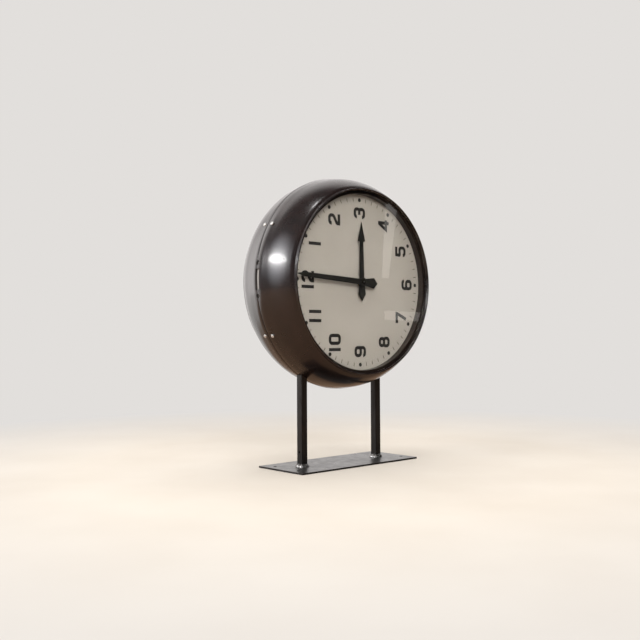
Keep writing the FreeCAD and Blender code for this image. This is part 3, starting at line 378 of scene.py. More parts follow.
SIDE_SLOTS = {
    "case": ["case"],
    "glass": ["glass"],
    "reveal": ["reveal_ring"],
    "dial": ["dial"],
    "hand": ["hour_hand", "minute_hand"],
    "blackened": ["hand_nut"],
    "bright_steel": [
        "dial_brackets", "minute_arbor", "cannon_pinion", "pivot_studs", "magnet_yoke", "armature_lever",
        "drive_pawl", "backstop_click",
    ],
    "terminal": ["coil_bobbins"],
    "winding": ["coil_windings"],
    "brass": [
        "dial_posts", "pillars", "outer_plate", "inner_plate", "ratchet_wheel", "motion_wheel", "hour_wheel",
    ],
}


def dress(node, name):
    obj = NODES[node]
    if not obj.data.materials:
        obj.data.materials.append(MATERIALS[name])
    for index in range(len(obj.material_slots)):
        obj.material_slots[index].link = "DATA"
        obj.material_slots[index].material = MATERIALS[name]


for slot, nodes in SLOTS.items():
    for node in nodes:
        dress(node, slot)
for slot, nodes in SIDE_SLOTS.items():
    for node in nodes:
        for side in ("front", "rear"):
            dress(side + "_" + node, slot)


# ---------------------------------------------------------------- mesh helpers


def about_centre(x, y, z):
    """A point given in millimetres from the clock's centre."""
    return Vector((x * MM, y * MM, CENTRE + z * MM))


def on_side(side, x, depth, z):
    """A point of the front side, or of the rear, which is the front turned over about X."""
    if side == "front":
        return about_centre(x, -depth, z)
    return about_centre(x, depth, -z)


def as_given(x, y, z):
    return Vector((x, y, z))


def circle(radius, sides, centre=(0, 0)):
    """The corners (x, y) of a regular polygon."""
    turns = [2 * math.pi * step / sides for step in range(sides)]
    return [(centre[0] + radius * math.cos(turn), centre[1] + radius * math.sin(turn)) for turn in turns]


def rectangle(low, high):
    return [(low[0], low[1]), (high[0], low[1]), (high[0], high[1]), (low[0], high[1])]


def band(first, second, count):
    """The faces between two closed rings of points, each given by the index where it starts."""
    faces = []
    for here in range(count):
        after = (here + 1) % count
        faces.append([first + here, first + after, second + after, second + here])
    return faces


def add_object(name, data):
    made = bpy.data.objects.new(name, data)
    bpy.context.scene.collection.objects.link(made)
    return made


def remove(objects):
    """Delete objects with their meshes."""
    for obj in objects:
        spent = obj.data
        bpy.data.objects.remove(obj)
        bpy.data.meshes.remove(spent)


def outward(mesh):
    """Turn every face outwards."""
    shell = bmesh.new()
    shell.from_mesh(mesh)
    bmesh.ops.recalc_face_normals(shell, faces=shell.faces)
    shell.to_mesh(mesh)
    shell.free()


def mesh_object(name, vertices, faces, material=None):
    mesh = bpy.data.meshes.new(name)
    mesh.from_pydata([tuple(vertex) for vertex in vertices], [], faces)
    mesh.update()
    if material:
        mesh.materials.append(material)
    outward(mesh)
    return add_object(name, mesh)


def prism(outline, low, high, lift):
    """A closed slab: an outline of (x, y), from one height to another, each point put in place by lift."""
    count = len(outline)
    vertices = [lift(x, y, height) for height in (low, high) for x, y in outline]
    ends = [list(range(count)), list(range(2 * count - 1, count - 1, -1))]
    return vertices, ends + band(0, count, count)


def combine(base, tools, operation):
    """Apply exact booleans to base, one tool at a time, and remove the tools."""
    for tool in tools:
        modifier = base.modifiers.new("bool", "BOOLEAN")
        modifier.operation = operation
        modifier.solver = "EXACT"
        modifier.object = tool
    bpy.context.view_layer.update()
    shape = base.evaluated_get(bpy.context.evaluated_depsgraph_get())
    mesh = bpy.data.meshes.new_from_object(shape)
    base.modifiers.clear()
    old = base.data
    base.data = mesh
    bpy.data.meshes.remove(old)
    remove(tools)
    return base


def merge(name, objects):
    """Join several objects' meshes into one object, keeping their materials."""
    vertices, faces, materials, which = [], [], [], []
    for obj in objects:
        start = len(vertices)
        vertices += [tuple(vertex.co) for vertex in obj.data.vertices]
        for face in obj.data.polygons:
            faces.append([start + index for index in face.vertices])
            material = obj.data.materials[face.material_index]
            if material not in materials:
                materials.append(material)
            which.append(materials.index(material))
    mesh = bpy.data.meshes.new(name)
    mesh.from_pydata(vertices, [], faces)
    for material in materials:
        mesh.materials.append(material)
    mesh.polygons.foreach_set("material_index", which)
    mesh.update()
    remove(objects)
    return add_object(name, mesh)


def sharpen(obj, degrees):
    """Smooth shading that keeps the edges sharper than an angle."""
    mesh = obj.data
    mesh.shade_smooth()
    shell = bmesh.new()
    shell.from_mesh(mesh)
    for edge in shell.edges:
        edge.smooth = len(edge.link_faces) == 2 and edge.calc_face_angle(0) < math.radians(degrees)
    shell.to_mesh(mesh)
    shell.free()
    return obj


def swept(centre, start, end, radius, steps):
    """Points of the shorter arc about a centre, from the direction of start to that of end."""
    first = math.atan2(start.y - centre.y, start.x - centre.x)
    last = math.atan2(end.y - centre.y, end.x - centre.x)
    sweep = (last - first + math.pi) % (2 * math.pi) - math.pi
    turns = [first + sweep * step / steps for step in range(steps + 1)]
    return [(centre.x + radius * math.cos(turn), centre.y + radius * math.sin(turn)) for turn in turns]


def arc_points(start, end, radius, steps):
    """Points of the arc from start to end that bulges to the right of the way, without its two ends."""
    start, end = Vector(start), Vector(end)
    chord = end - start
    side = Vector((chord.y, -chord.x)).normalized()
    centre = (start + end) / 2 - side * math.sqrt(radius**2 - (chord.length / 2) ** 2)
    return swept(centre, start, end, radius, steps)[1:-1]


def rounded(points, closed=False, steps=6):
    """Replace each (x, y, radius) corner of a path with an arc of that radius."""
    result = []
    count = len(points)
    for index, (x, y, radius) in enumerate(points):
        if radius == 0 or (not closed and index in (0, count - 1)):
            result.append((x, y))
            continue
        here = Vector((x, y))
        back = (Vector(points[index - 1][:2]) - here).normalized()
        ahead = (Vector(points[(index + 1) % count][:2]) - here).normalized()
        half = back.angle(ahead) / 2
        reach = radius / math.tan(half)
        centre = here + (back + ahead).normalized() * radius / math.sin(half)
        result += swept(centre, here + back * reach, here + ahead * reach, radius, steps)
    return result


def rounded_square(half, radius, steps):
    corners = rectangle((-half, -half), (half, half))
    return rounded([(x, y, radius) for x, y in corners], True, steps)


# ---------------------------------------------------------------- case

CASE_SIDES, BOW_STEPS, SHOULDER_STEPS = 300, 22, 9
# Distances from the axis between which the case's wall is cut.
CUT_START, CUT_END, LEG_CUT_START = 170, 200, 100
# Profile edges that meet at less than SOFT_ANGLE degrees shade as one curve. A face belongs to the
# profile where it lies within NEAR_PROFILE millimetres of an edge and faces almost as it does.
SOFT_ANGLE, NEAR_PROFILE, SAME_WAY, OTHER_WAY = 28, 0.6, 0.9, 1e3


def case_profile():
    """(radius, depth) round one half's section, with its edges eased as moulded."""
    seam = [(CASE_RADIUS - 0.5, SEAM), (CASE_RADIUS - 0.15, SEAM + 0.12), (CASE_RADIUS - 0.03, SEAM + 0.5)]
    draft = [(DRAFT_RADIUS + 1.5, DRAFT_DEPTH - 9.6), (DRAFT_RADIUS + 0.5, DRAFT_DEPTH - 3.4)]
    bow = arc_points((DRAFT_RADIUS, DRAFT_DEPTH), SHOULDER, CASE_BOW, BOW_STEPS)
    shoulder = [SHOULDER] + arc_points(SHOULDER, RIM, SHOULDER_BOW, SHOULDER_STEPS)
    lip = [
        (RIM[0] + 0.25, RIM[1] - 0.3, 0),
        (RIM[0] - 0.25, RIM[1] + 0.4, 0.5),
        (BEAD_OUT[0] + 0.3, BEAD_OUT[1], 0.8),
        (BEAD_IN[0] - 0.2, BEAD_IN[1], 0.8),
        (MOUTH[0], MOUTH[1], 0.4),
        (MOUTH[0] + 3.2, MOUTH[1], 0),
    ]
    inner = [(INNER_SHOULDER, DIAL_DEPTH), (INNER_RADIUS, INNER_DEPTH), (INNER_RADIUS, SEAM)]
    return seam + draft + bow + shoulder + rounded(lip) + inner


def revolve(name, profile, sides, material):
    """Turn a closed (radius, depth) profile about the clock's axis, on the front side."""
    count = len(profile)
    vertices, faces = [], []
    for side in range(sides):
        angle = 2 * math.pi * (side + 0.5) / sides
        for radius, depth in profile:
            vertices.append(on_side("front", radius * math.cos(angle), depth, radius * math.sin(angle)))
        faces += band(side * count, (side + 1) % sides * count, count)
    return mesh_object(name, vertices, faces, material)


def cutter_box(low, high):
    return mesh_object("cutter", *prism(rectangle(low, high), low[2], high[2], about_centre))


def cutter_rod(start, end, radius, sides=32):
    """A rod to cut a round hole with, from one point to another about the clock's centre."""
    start, end = Vector(start), Vector(end)
    along = (end - start).normalized()
    across = along.orthogonal().normalized()
    other = along.cross(across)

    def lift(x, y, height):
        return about_centre(*((end if height else start) + across * x + other * y))

    return mesh_object("cutter", *prism(circle(radius, sides), 0, 1, lift))


def true_normals(obj, profile):
    """Give the turned surfaces the normals of their own profile, and leave the cut walls flat."""
    start = np.array(profile)
    end = np.roll(start, -1, axis=0)
    way = end - start
    length = np.linalg.norm(way, axis=1)
    way /= length[:, None]
    # The outward normal of each edge of the profile, and of each corner between two edges.
    edge = np.stack([way[:, 1], -way[:, 0]], axis=1)
    area = np.sum(start[:, 0] * end[:, 1] - end[:, 0] * start[:, 1])
    edge *= 1 if area > 0 else -1
    before = np.roll(edge, 1, axis=0)
    corner = edge + before
    corner /= np.linalg.norm(corner, axis=1)[:, None]
    soft = np.sum(edge * before, axis=1) > math.cos(math.radians(SOFT_ANGLE))
    # Where each face corner lies and faces, as (radius, depth).
    mesh = obj.data
    count = len(mesh.loops)
    which = np.zeros(count, int)
    mesh.loops.foreach_get("vertex_index", which)
    places = np.zeros(len(mesh.vertices) * 3)
    mesh.vertices.foreach_get("co", places)
    places = places.reshape(-1, 3)[which] / MM
    flat = np.zeros((count, 3))
    for face in mesh.polygons:
        flat[face.loop_start : face.loop_start + face.loop_total] = face.normal
    x, y, z = places[:, 0], places[:, 1], places[:, 2] - CENTRE / MM
    radius = np.hypot(x, z)
    spot = np.stack([radius, -y], axis=1)
    radial = np.stack([x / radius, z / radius], axis=1)
    facing = np.stack([flat[:, 0] * radial[:, 0] + flat[:, 2] * radial[:, 1], -flat[:, 1]], axis=1)
    # The nearest edge that faces as the face corner does gives it its normal.
    nearest = np.full(count, np.inf)
    normal = np.zeros((count, 2))
    for index in range(len(start)):
        share = np.clip(((spot - start[index]) @ way[index]) / length[index], 0, 1)
        gap = np.linalg.norm(spot - start[index] - share[:, None] * length[index] * way[index], axis=1)
        gap = gap + (facing @ edge[index] < SAME_WAY) * OTHER_WAY
        after = (index + 1) % len(start)
        first = corner[index] if soft[index] else edge[index]
        last = corner[after] if soft[after] else edge[index]
        mixed = first * (1 - share)[:, None] + last * share[:, None]
        better = gap < nearest - 1e-6
        nearest = np.where(better, gap, nearest)
        normal = np.where(better[:, None], mixed, normal)
    normal /= np.maximum(np.linalg.norm(normal, axis=1)[:, None], 1e-9)
    turned = np.stack([normal[:, 0] * radial[:, 0], -normal[:, 1], normal[:, 0] * radial[:, 1]], axis=1)
    final = np.where((nearest < NEAR_PROFILE)[:, None], turned, flat)
    mesh.shade_smooth()
    mesh.normals_split_custom_set([tuple(given) for given in final])


def screw_way(sign, angle):
    """The direction of a screw's axis: the clock's left or right, and an angle in degrees from it."""
    turn = math.radians(angle)
    return Vector((math.cos(turn) * sign, 0, math.sin(turn) * sign))


def make_case():
    """Both halves of the case, cut for the slot, the two holes, the legs and the screws."""
    profile = case_profile()
    case = revolve("front_case_shell", profile, CASE_SIDES, MATERIALS["case"])
    slot_low = (-CUT_END, -SLOT_HALF_WIDTH, -SLOT_HALF_LENGTH)
    slot_high = (-CUT_START, SLOT_HALF_WIDTH, SLOT_HALF_LENGTH)
    tools = [cutter_box(slot_low, slot_high)]
    for z in (-HOLE_HEIGHT, HOLE_HEIGHT):
        tools.append(cutter_rod((-CUT_END, 0, z), (-CUT_START, 0, z), HOLE_RADIUS))
    reach = LEG_SIDE / 2 + LEG_CLEAR
    for x in (-LEG_X, LEG_X):
        tools.append(cutter_box((x - reach, -reach, -CUT_END), (x + reach, reach, -LEG_CUT_START)))
    for angle in (SCREW_ANGLE, -SCREW_ANGLE):
        for sign in (-1, 1):
            way = screw_way(sign, angle)
            offset = Vector((0, -SCREW_DEPTH, 0))
            tools.append(cutter_rod(way * CUT_START + offset, way * CUT_END + offset, SCREW_HOLE))
    combine(case, tools, "DIFFERENCE")
    mirrored = case.data.copy()
    mirrored.transform(Matrix.Scale(-1, 4, Vector((0, 1, 0))))
    mirrored.flip_normals()
    true_normals(case, profile)
    rear = add_object("rear_case_shell", mirrored)
    true_normals(rear, [(radius, -depth) for radius, depth in profile])
    for side, obj in (("front", case), ("rear", rear)):
        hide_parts(side + "_case")
        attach(obj, "clock")


make_case()


# ---------------------------------------------------------------- dial printing

# Sizes in millimetres. A numeral is HALF to each side and TOP up and down to the middle of its
# strokes, and a stroke that ends at its top or bottom goes on to END.
STROKE, STROKE_OF_ONE = 5.7, 5.3
HALF, TOP, END, BOWL = 6.75, 11, 13.5, 4.6
NUMERAL_RADIUS = 120.3
DOT_RADIUS, DOT_SIZE, DOT_SIDES = 143, 3.4, 28
TICK_START, TICK_END, TICK_HALF = 139.8, 146.2, 0.6
PRINT_LOW, PRINT_HIGH, TICK_HIGH = -0.3, 0.12, 0.084
MITRE_LIMIT = 0.35


def bowl(half, low, high):
    """A closed stroke as wide as half to each side; low and high are each a height and a radius."""
    return [(-half, *low), (half, *low), (half, *high), (-half, *high)], True


# Each stroke is a path of (x, y, corner radius); the flag says whether it closes on itself.
GLYPHS = {
    "0": [bowl(6.6, (-TOP, BOWL), (TOP, BOWL))],
    "1": [([(0, -END, 0), (0, END, 0)], False)],
    "2": [
        (
            [
                (-HALF, 5.6, 0), (-HALF, TOP, BOWL), (HALF, TOP, BOWL), (HALF, 1.6, 5), (-HALF, -6.4, 4),
                (-HALF, -TOP, 0), (9.25, -TOP, 0),
            ],
            False,
        )
    ],
    "3": [
        ([(-HALF, 6.2, 0), (-HALF, TOP, BOWL), (HALF, TOP, BOWL), (HALF, 0.5, 3.6), (-3, 0.5, 0)], False),
        ([(-3, 0.5, 0), (HALF, 0.5, 3.6), (HALF, -TOP, BOWL), (-HALF, -TOP, BOWL), (-HALF, -6.2, 0)], False),
    ],
    "4": [
        ([(3.4, 12.2, 0), (-7.6, -6.2, 0), (9.6, -6.2, 0)], False),
        ([(4.2, END, 0), (4.2, -END, 0)], False),
    ],
    "5": [
        (
            [
                (8.2, TOP, 0), (-6.2, TOP, 0), (-HALF, 1.9, 1.2), (HALF, 2.5, BOWL), (HALF, -TOP, BOWL),
                (-HALF, -TOP, BOWL), (-HALF, -6.4, 0),
            ],
            False,
        )
    ],
    "6": [
        bowl(HALF, (-TOP, BOWL), (1.2, BOWL)),
        ([(-HALF, -6, 0), (-HALF, TOP, BOWL), (HALF, TOP, 3.9), (HALF, 7, 0)], False),
    ],
    "7": [([(-7, 7.2, 0), (-7, TOP, 0), (7.4, TOP, 0), (7.2, 9.4, 1.5), (-2.6, -END, 0)], False)],
    "8": [bowl(HALF, (-TOP, BOWL), (0.6, 4)), bowl(6.1, (0.6, 4), (TOP, 4.4))],
}
GLYPHS["9"] = [([(-x, -y, radius) for x, y, radius in path], closed) for path, closed in GLYPHS["6"]]
# The digits of each hour, each with its shift sideways.
NUMERALS = {hour: [(str(hour), 0)] for hour in range(1, 10)}
NUMERALS[10] = [("1", -12), ("0", 5.3)]
NUMERALS[11] = [("1", -7.5), ("1", 7.5)]
NUMERALS[12] = [("1", -12), ("2", 4.8)]


def stroke_outline(path, closed, width):
    """The two sides of a stroke along a rounded path; corners with no radius are mitred."""
    points = [Vector(point) for point in rounded(path, closed)]
    count = len(points)
    left, right = [], []
    for index, point in enumerate(points):
        if closed or 0 < index < count - 1:
            back = (point - points[index - 1]).normalized()
            ahead = (points[(index + 1) % count] - point).normalized()
        else:
            back = ahead = (points[1] - point if index == 0 else point - points[-2]).normalized()
        middle = (back + ahead).normalized()
        normal = Vector((-middle.y, middle.x))
        reach = width / 2 / max(normal.dot(Vector((-back.y, back.x))), MITRE_LIMIT)
        left.append(point + normal * reach)
        right.append(point - normal * reach)
    return left, right


def stroke_mesh(path, closed, width, lift):
    left, right = stroke_outline(path, closed, width)
    count = len(left)
    top = 2 * count
    sides = left + right
    vertices = [lift(point.x, point.y, height) for height in (PRINT_LOW, PRINT_HIGH) for point in sides]
    faces = []
    for here in range(count if closed else count - 1):
        after = (here + 1) % count
        faces.append([here, after, count + after, count + here])
        faces.append([top + here, top + count + here, top + count + after, top + after])
        faces.append([here, top + here, top + after, after])
        faces.append([count + here, count + after, top + count + after, top + count + here])
    if not closed:
        for end in (0, count - 1):
            faces.append([end, count + end, top + count + end, top + end])
    return mesh_object("stroke", vertices, faces, MATERIALS["print"])


def glyph(character, x, y, place):
    """One numeral as a closed slab, its strokes united."""

    def moved(across, up, height):
        return place(x + across, y + up, height)

    width = STROKE_OF_ONE if character == "1" else STROKE
    parts = [stroke_mesh(path, closed, width, moved) for path, closed in GLYPHS[character]]
    if len(parts) > 1:
        combine(parts[0], parts[1:], "UNION")
    return parts[0]


def make_tick(angle, place):
    """A short bar that points at the dial's centre."""
    way = Vector((math.sin(angle), math.cos(angle)))
    side = Vector((way.y, -way.x)) * TICK_HALF
    start, end = way * TICK_START, way * TICK_END
    corners = [tuple(corner) for corner in (start - side, start + side, end + side, end - side)]
    return mesh_object("tick", *prism(corners, PRINT_LOW, TICK_HIGH, place), MATERIALS["tick"])


def make_printing(side):
    """The numerals, dots and ticks of one dial, which is turned by a quarter, so that 12 is at -X."""

    def place(across, up, height):
        return on_side(side, -up, DIAL_DEPTH + height, across)

    parts = []
    for hour, digits in NUMERALS.items():
        angle = math.radians(30 * hour)
        across, up = math.sin(angle), math.cos(angle)
        for character, shift in digits:
            parts.append(glyph(character, NUMERAL_RADIUS * across + shift, NUMERAL_RADIUS * up, place))
        dot = circle(DOT_SIZE, DOT_SIDES, (DOT_RADIUS * across, DOT_RADIUS * up))
        parts.append(mesh_object("dot", *prism(dot, PRINT_LOW, PRINT_HIGH, place), MATERIALS["print"]))
    for minute in range(60):
        if minute % 5:
            parts.append(make_tick(math.radians(6 * minute), place))
    printing = merge(side + "_dial_printing", parts)
    outward(printing.data)
    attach(printing, "clock")


for side in ("front", "rear"):
    make_printing(side)


# ---------------------------------------------------------------- screws, legs and welds

# Sizes in millimetres. A screw's profile is (radius, height above the case).
SHANK = [(1.95, -10), (1.95, 0)]
HEAD = [(3.05, 0), (3.1, 0.25), (3.1, 0.75), (2.9, 1.15), (2.4, 1.45), (1.4, 1.62)]
SCREW_SIDES, SCREW_SINK = 28, 0.9
DRIVE_HALF_LENGTH, DRIVE_HALF_WIDTH, DRIVE_LOW, DRIVE_HIGH = 4, 0.4, 0.8, 3
TUBE_CORNER, BORE_CORNER, TUBE_STEPS = 0.8, 0.4, 7
CROSS_HOLE_START, CROSS_HOLE_END, CROSS_HOLE_SIDES = 4, 9, 24
WELD_WIDE, WELD_TALL, WELD_SINK, WELD_RIPPLE = 4.0, 4.8, 0.6, 1.9
WELD_CORNER, WELD_CORNER_STEPS, WELD_STEP, WELD_ROWS = 2.2, 8, 0.34, 14


def make_screw(way, depth, spin):
    """One slotted pan head screw along way, at a depth from the seam, its slot turned by spin."""
    side = Vector((0, 1, 0))
    across = way.cross(side)
    foot = way * (CASE_RADIUS - SCREW_SINK) + Vector((0, depth, 0))
    slot_way = side * math.cos(spin) + across * math.sin(spin)
    slot_side = way.cross(slot_way)

    def lift(along, aside, height):
        return about_centre(*(foot + way * height + slot_way * along + slot_side * aside))

    profile = SHANK + HEAD
    vertices, faces = [], []
    for radius, height in profile:
        for x, y in circle(radius, SCREW_SIDES):
            vertices.append(about_centre(*(foot + way * height + side * x + across * y)))
    last = (len(profile) - 1) * SCREW_SIDES
    for start in range(0, last, SCREW_SIDES):
        faces += band(start, start + SCREW_SIDES, SCREW_SIDES)
    faces += [list(range(SCREW_SIDES)), list(range(last, last + SCREW_SIDES))]
    screw = mesh_object("screw", vertices, faces, MATERIALS["screw"])
    slot = rectangle((-DRIVE_HALF_LENGTH, -DRIVE_HALF_WIDTH), (DRIVE_HALF_LENGTH, DRIVE_HALF_WIDTH))
    return combine(screw, [mesh_object("cutter", *prism(slot, DRIVE_LOW, DRIVE_HIGH, lift))], "DIFFERENCE")


def make_screws():
    """The screws that hold the two halves to the band, in pairs across the seam."""
    draw = random.Random(7)
    heads = []
    for sign in (-1, 1):
        for angle in (-SCREW_ANGLE, SCREW_ANGLE):
            for depth in (-SCREW_DEPTH, SCREW_DEPTH):
                heads.append(make_screw(screw_way(sign, angle), depth, draw.uniform(0, math.pi)))
    screws = sharpen(merge("seam_screw_heads", heads), 40)
    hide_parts("seam_screws")
    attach(screws, "clock")


def make_leg(name, x):
    """A square tube with rolled corners and a small cross hole in its outward wall."""
    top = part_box(name)[1].z / MM
    half = LEG_SIDE / 2
    outside = rounded_square(half, TUBE_CORNER, TUBE_STEPS)
    inside = rounded_square(half - LEG_WALL, BORE_CORNER, TUBE_STEPS)
    count = len(outside)
    vertices = []
    for height in (LEG_FOOT, top):
        for across, depth in outside + inside:
            vertices.append(Vector(((x + across) * MM, depth * MM, height * MM)))
    faces = []
    for first, second in ((0, 2), (1, 3), (0, 1), (2, 3)):
        faces += band(first * count, second * count, count)
    leg = mesh_object(name + "_tube", vertices, faces, MATERIALS["dark_steel"])
    sign = -1 if x < 0 else 1
    height = CROSS_HOLE_HEIGHT - CENTRE / MM
    start, end = (x + sign * CROSS_HOLE_START, 0, height), (x + sign * CROSS_HOLE_END, 0, height)
    hole = cutter_rod(start, end, CROSS_HOLE_RADIUS, CROSS_HOLE_SIDES)
    sharpen(combine(leg, [hole], "DIFFERENCE"), 30)
    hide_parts(name)
    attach(leg, "clock")


def weld_path():
    """Points in even steps round a leg's foot."""
    track = rounded_square(LEG_SIDE / 2, WELD_CORNER, WELD_CORNER_STEPS)
    path = []
    for index, (x, y) in enumerate(track):
        next_x, next_y = track[(index + 1) % len(track)]
        parts = max(1, round(math.hypot(next_x - x, next_y - y) / WELD_STEP))
        for part in range(parts):
            path.append(Vector((x + (next_x - x) * part / parts, y + (next_y - y) * part / parts)))
    return path


def weld_section(wide, tall):
    """(distance out from the leg, height) across a bead, from its outer foot round to its inner one."""
    section = []
    for row in range(WELD_ROWS):
        share = row / (WELD_ROWS - 1)
        bulge = 1 - 0.12 * math.sin(math.pi * share)
        turn = share * math.pi / 2
        section.append((wide * math.cos(turn) * bulge, tall * math.sin(turn) * bulge))
    top = section.pop()[1]
    return section + [(-WELD_SINK, top), (-WELD_SINK, 0)]


def make_weld(name, x):
    """A hand laid bead round a leg's foot: overlapping ripples of uneven width."""
    path = weld_path()
    count = len(path)
    rows = WELD_ROWS + 1
    vertices, faces = [], []
    walked = 0.0
    for index, point in enumerate(path):
        following = path[(index + 1) % count]
        ahead = following - path[index - 1]
        normal = Vector((ahead.y, -ahead.x)).normalized()
        walked += (following - point).length
        ripple = abs(math.sin(math.pi * walked / WELD_RIPPLE))
        wander = noise.noise(Vector((point.x * 0.28 + x, point.y * 0.28, 3.1)))
        blob = noise.noise(Vector((point.x * 0.75, point.y * 0.75 + x, 9.7)))
        wide = WELD_WIDE + 0.5 * wander + 0.4 * ripple + 0.6 * blob
        tall = WELD_TALL + 0.7 * wander + 0.4 * ripple + 0.8 * blob
        for away, height in weld_section(wide, tall):
            place = point + normal * away
            vertices.append(Vector(((x + place.x) * MM, place.y * MM, (LEG_FOOT + height) * MM)))
        faces += band(index * rows, (index + 1) % count * rows, rows)
    weld = mesh_object(name + "_bead", vertices, faces, MATERIALS["weld"])
    sharpen(weld, 50)
    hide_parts(name)
    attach(weld, "clock")


make_screws()
for name, x in (("leg_left", -LEG_X), ("leg_right", LEG_X)):
    make_leg(name, x)
for name, x in (("weld_left", -LEG_X), ("weld_right", LEG_X)):
    make_weld(name, x)


# ---------------------------------------------------------------- stage, light and camera

# From here on, sizes are in metres and angles in radians.
WALL = rgb(226, 223, 220)
FLOOR_LIGHT, FLOOR_DARK = rgb(206, 198, 188), rgb(200, 191, 180)
WARM = rgb(146, 118, 96)  # the floor, as the lit object sees it
FILL = (1, 0.985, 0.97, 1)
WALL_TINT = (1.0, 0.96, 0.945)
FLOOR_RADIUS, FLOOR_SIDES, FLOOR_THICK = 4, 96, 0.01
# The reflected wall stands along a slanted line on the ground: y plus SLANT times x.
SLANT = 0.6
# Corners of the strips that the glass mirrors towards the camera.
CARD_THICK = 0.01
CARDS = {
    "strip_wide": [(2.494, -2.4, 0.571), (2.529, -2.4, 1.007), (2.62, -2.4, 1.007), (2.539, -2.4, 0.571)],
    "strip_low": [(2.514, -2.4, 0.332), (2.514, -2.4, 0.383), (2.834, -2.4, 0.377), (2.834, -2.4, 0.325)],
}
HALO_PLACE, HALO_SIZE, HALO_SIDES, HALO_HALF = (-3.1, 0.36, 1.53), (2.2, 1.76, 1), 64, 0.002
# Each lamp has a place, a size, a power, whether gloss sees it, and a colour.
LAMPS = {
    "window": ((-2.91, 0.42, 1.47), (2.5, 0.46), 68, True, (1, 0.99, 0.97)),
    "ceiling": ((-0.38, -0.55, 3.1), (0.5, 0.5), 9, True, (1, 1, 1)),
    "front": ((-1.3, -2.6, 1.9), (2.2, 1.6), 62, False, (1, 0.98, 0.95)),
    "overhead": ((0.2, 0.3, 2.6), (2.4, 2.4), 46, False, (1, 0.99, 0.97)),
    "right": ((2.4, -0.6, 1.2), (1.4, 1.4), 12, False, (1, 1, 1)),
}
YAW, PITCH, ROLL = 0.7342, 0.02298, -0.00518
CAMERA_PLACE, LENS, SENSOR = (-1.03194, -1.09107, 0.21918), 47.456, 36


def make_floor():
    """A wide pale floor that fades into the background away from the object."""
    s = Shader("floor_paint", Roughness=0.75, Specular_IOR_Level=0.1)
    rays = s.add("LightPath").outputs
    pale = s.ramp(s.noise(5, 4, 0.5), (0.3, FLOOR_DARK), (0.7, FLOOR_LIGHT))
    s.feed(Base_Color=s.mix(rays["Is Camera Ray"], WARM, pale))
    place = s.split(s.place)
    # A power of 0 gives 1, so the glow is dimmed for gloss alone.
    dimming = s.span(place["X"], 2.4, 1.3, -0.7, 0)
    glow = s.light("Emission", WALL, s.math("POWER", dimming, rays["Is Glossy Ray"]))
    near = s.math("MULTIPLY", s.span(s.length(s.place), 0, 1, 0.45, 1.15), rays["Is Camera Ray"])
    slant = s.math("ADD", place["Y"], s.math("MULTIPLY", place["X"], SLANT))
    far = s.math("MULTIPLY", s.span(slant, 0, 1, 0.4, 0.6), rays["Is Glossy Ray"])
    material = s.show(s.blend(s.math("ADD", near, far), s.main.outputs[0], glow))
    ring = circle(FLOOR_RADIUS, FLOOR_SIDES)
    floor = mesh_object("floor", *prism(ring, 0, -FLOOR_THICK, as_given), material)


def make_world():
    """An even pale backdrop to the camera; gloss sees a dim room in front and the pale wall behind."""
    world = bpy.data.worlds.new("studio")
    bpy.context.scene.world = world
    world.use_nodes = True
    n = Nodes(world.node_tree, "Generated")
    way = n.split(n.place)
    slant = n.math("MULTIPLY_ADD", way["X"], SLANT, way["Y"])
    wall = n.scaled(WALL_TINT, n.span(way["X"], 3.0, 1.15, -0.34, 0.02))
    dim = n.span(way["X"], 0.17, 0.02, -0.5, 0.0)
    room = n.mix(n.span(slant, 0.0, 1.0, 0.3, 0.62), dim, wall)
    rays = n.add("LightPath").outputs
    unseen = n.blend(rays["Is Glossy Ray"], n.light("Background", FILL, 0.42), n.light("Background", room))
    seen = n.blend(rays["Is Camera Ray"], unseen, n.light("Background", WALL))
    n.link(seen, n.add("OutputWorld").inputs[0])


def aim(obj, target):
    obj.rotation_mode = "QUATERNION"
    obj.rotation_quaternion = (Vector(target) - obj.location).to_track_quat("-Z", "Y")


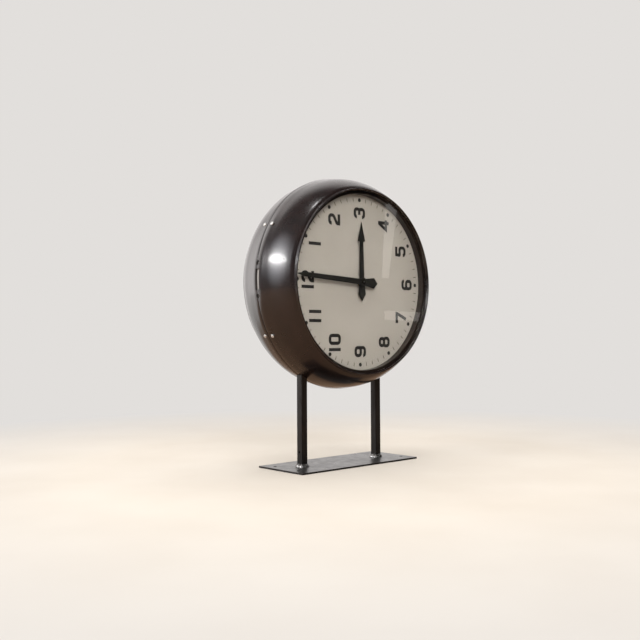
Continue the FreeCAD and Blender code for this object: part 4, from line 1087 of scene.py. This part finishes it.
def make_lights():
    for name, (place, size, power, glossy, colour) in LAMPS.items():
        lamp = bpy.data.lights.new(name, "AREA")
        lamp.shape = "ELLIPSE"
        lamp.size, lamp.size_y = size
        lamp.energy = power
        lamp.color = colour
        made = add_object(name, lamp)
        made.location = place
        aim(made, (0, 0, CENTRE))
        made.visible_glossy = glossy


def gloss_only(obj):
    obj.visible_camera = obj.visible_diffuse = obj.visible_shadow = obj.visible_transmission = False


def make_cards():
    """Pale strips in front of the glass that only gloss sees, as a bright room does."""
    s = Shader("card_light")
    material = s.show(s.light("Emission", rgb(250, 248, 244), 1.6))
    for name, corners in CARDS.items():
        back = [(x, y - CARD_THICK, z) for x, y, z in corners]
        faces = [[0, 1, 2, 3], [7, 6, 5, 4]] + band(0, 4, 4)
        card = mesh_object(name, corners + back, faces, material)
        gloss_only(card)


def make_window_glow():
    """A soft cool halo round the window that only gloss sees."""
    s = Shader("window_halo")
    fade = s.span(s.length(s.place), 1, 0, 0, 1)
    strength = s.math("MULTIPLY", s.math("POWER", fade, 1.5), 7.5)
    material = s.show(s.light("Emission", (0.92, 0.94, 1.0, 1), strength))
    disc = prism(circle(1, HALO_SIDES), -HALO_HALF, HALO_HALF, as_given)
    halo = mesh_object("window_halo", *disc, material)
    halo.location = HALO_PLACE
    halo.scale = HALO_SIZE
    aim(halo, (0, 0, CENTRE))
    gloss_only(halo)


def make_camera():
    level = math.cos(PITCH)
    ahead = Vector((math.sin(YAW) * level, math.cos(YAW) * level, math.sin(PITCH)))
    right = Vector((math.cos(YAW), -math.sin(YAW), 0))
    up = right.cross(ahead)
    rolled_right = right * math.cos(ROLL) + up * math.sin(ROLL)
    rolled_up = up * math.cos(ROLL) - right * math.sin(ROLL)
    data = bpy.data.cameras.new("camera")
    data.lens = LENS
    data.sensor_width = SENSOR
    data.clip_start = 0.05
    data.clip_end = 50
    camera = add_object("camera", data)
    matrix = Matrix((rolled_right, rolled_up, -ahead)).transposed().to_4x4()
    matrix.translation = Vector(CAMERA_PLACE)
    camera.matrix_world = matrix
    bpy.context.scene.camera = camera


make_floor()
make_world()
make_lights()
make_cards()
make_window_glow()
make_camera()
bpy.context.scene.view_settings.view_transform = "Standard"
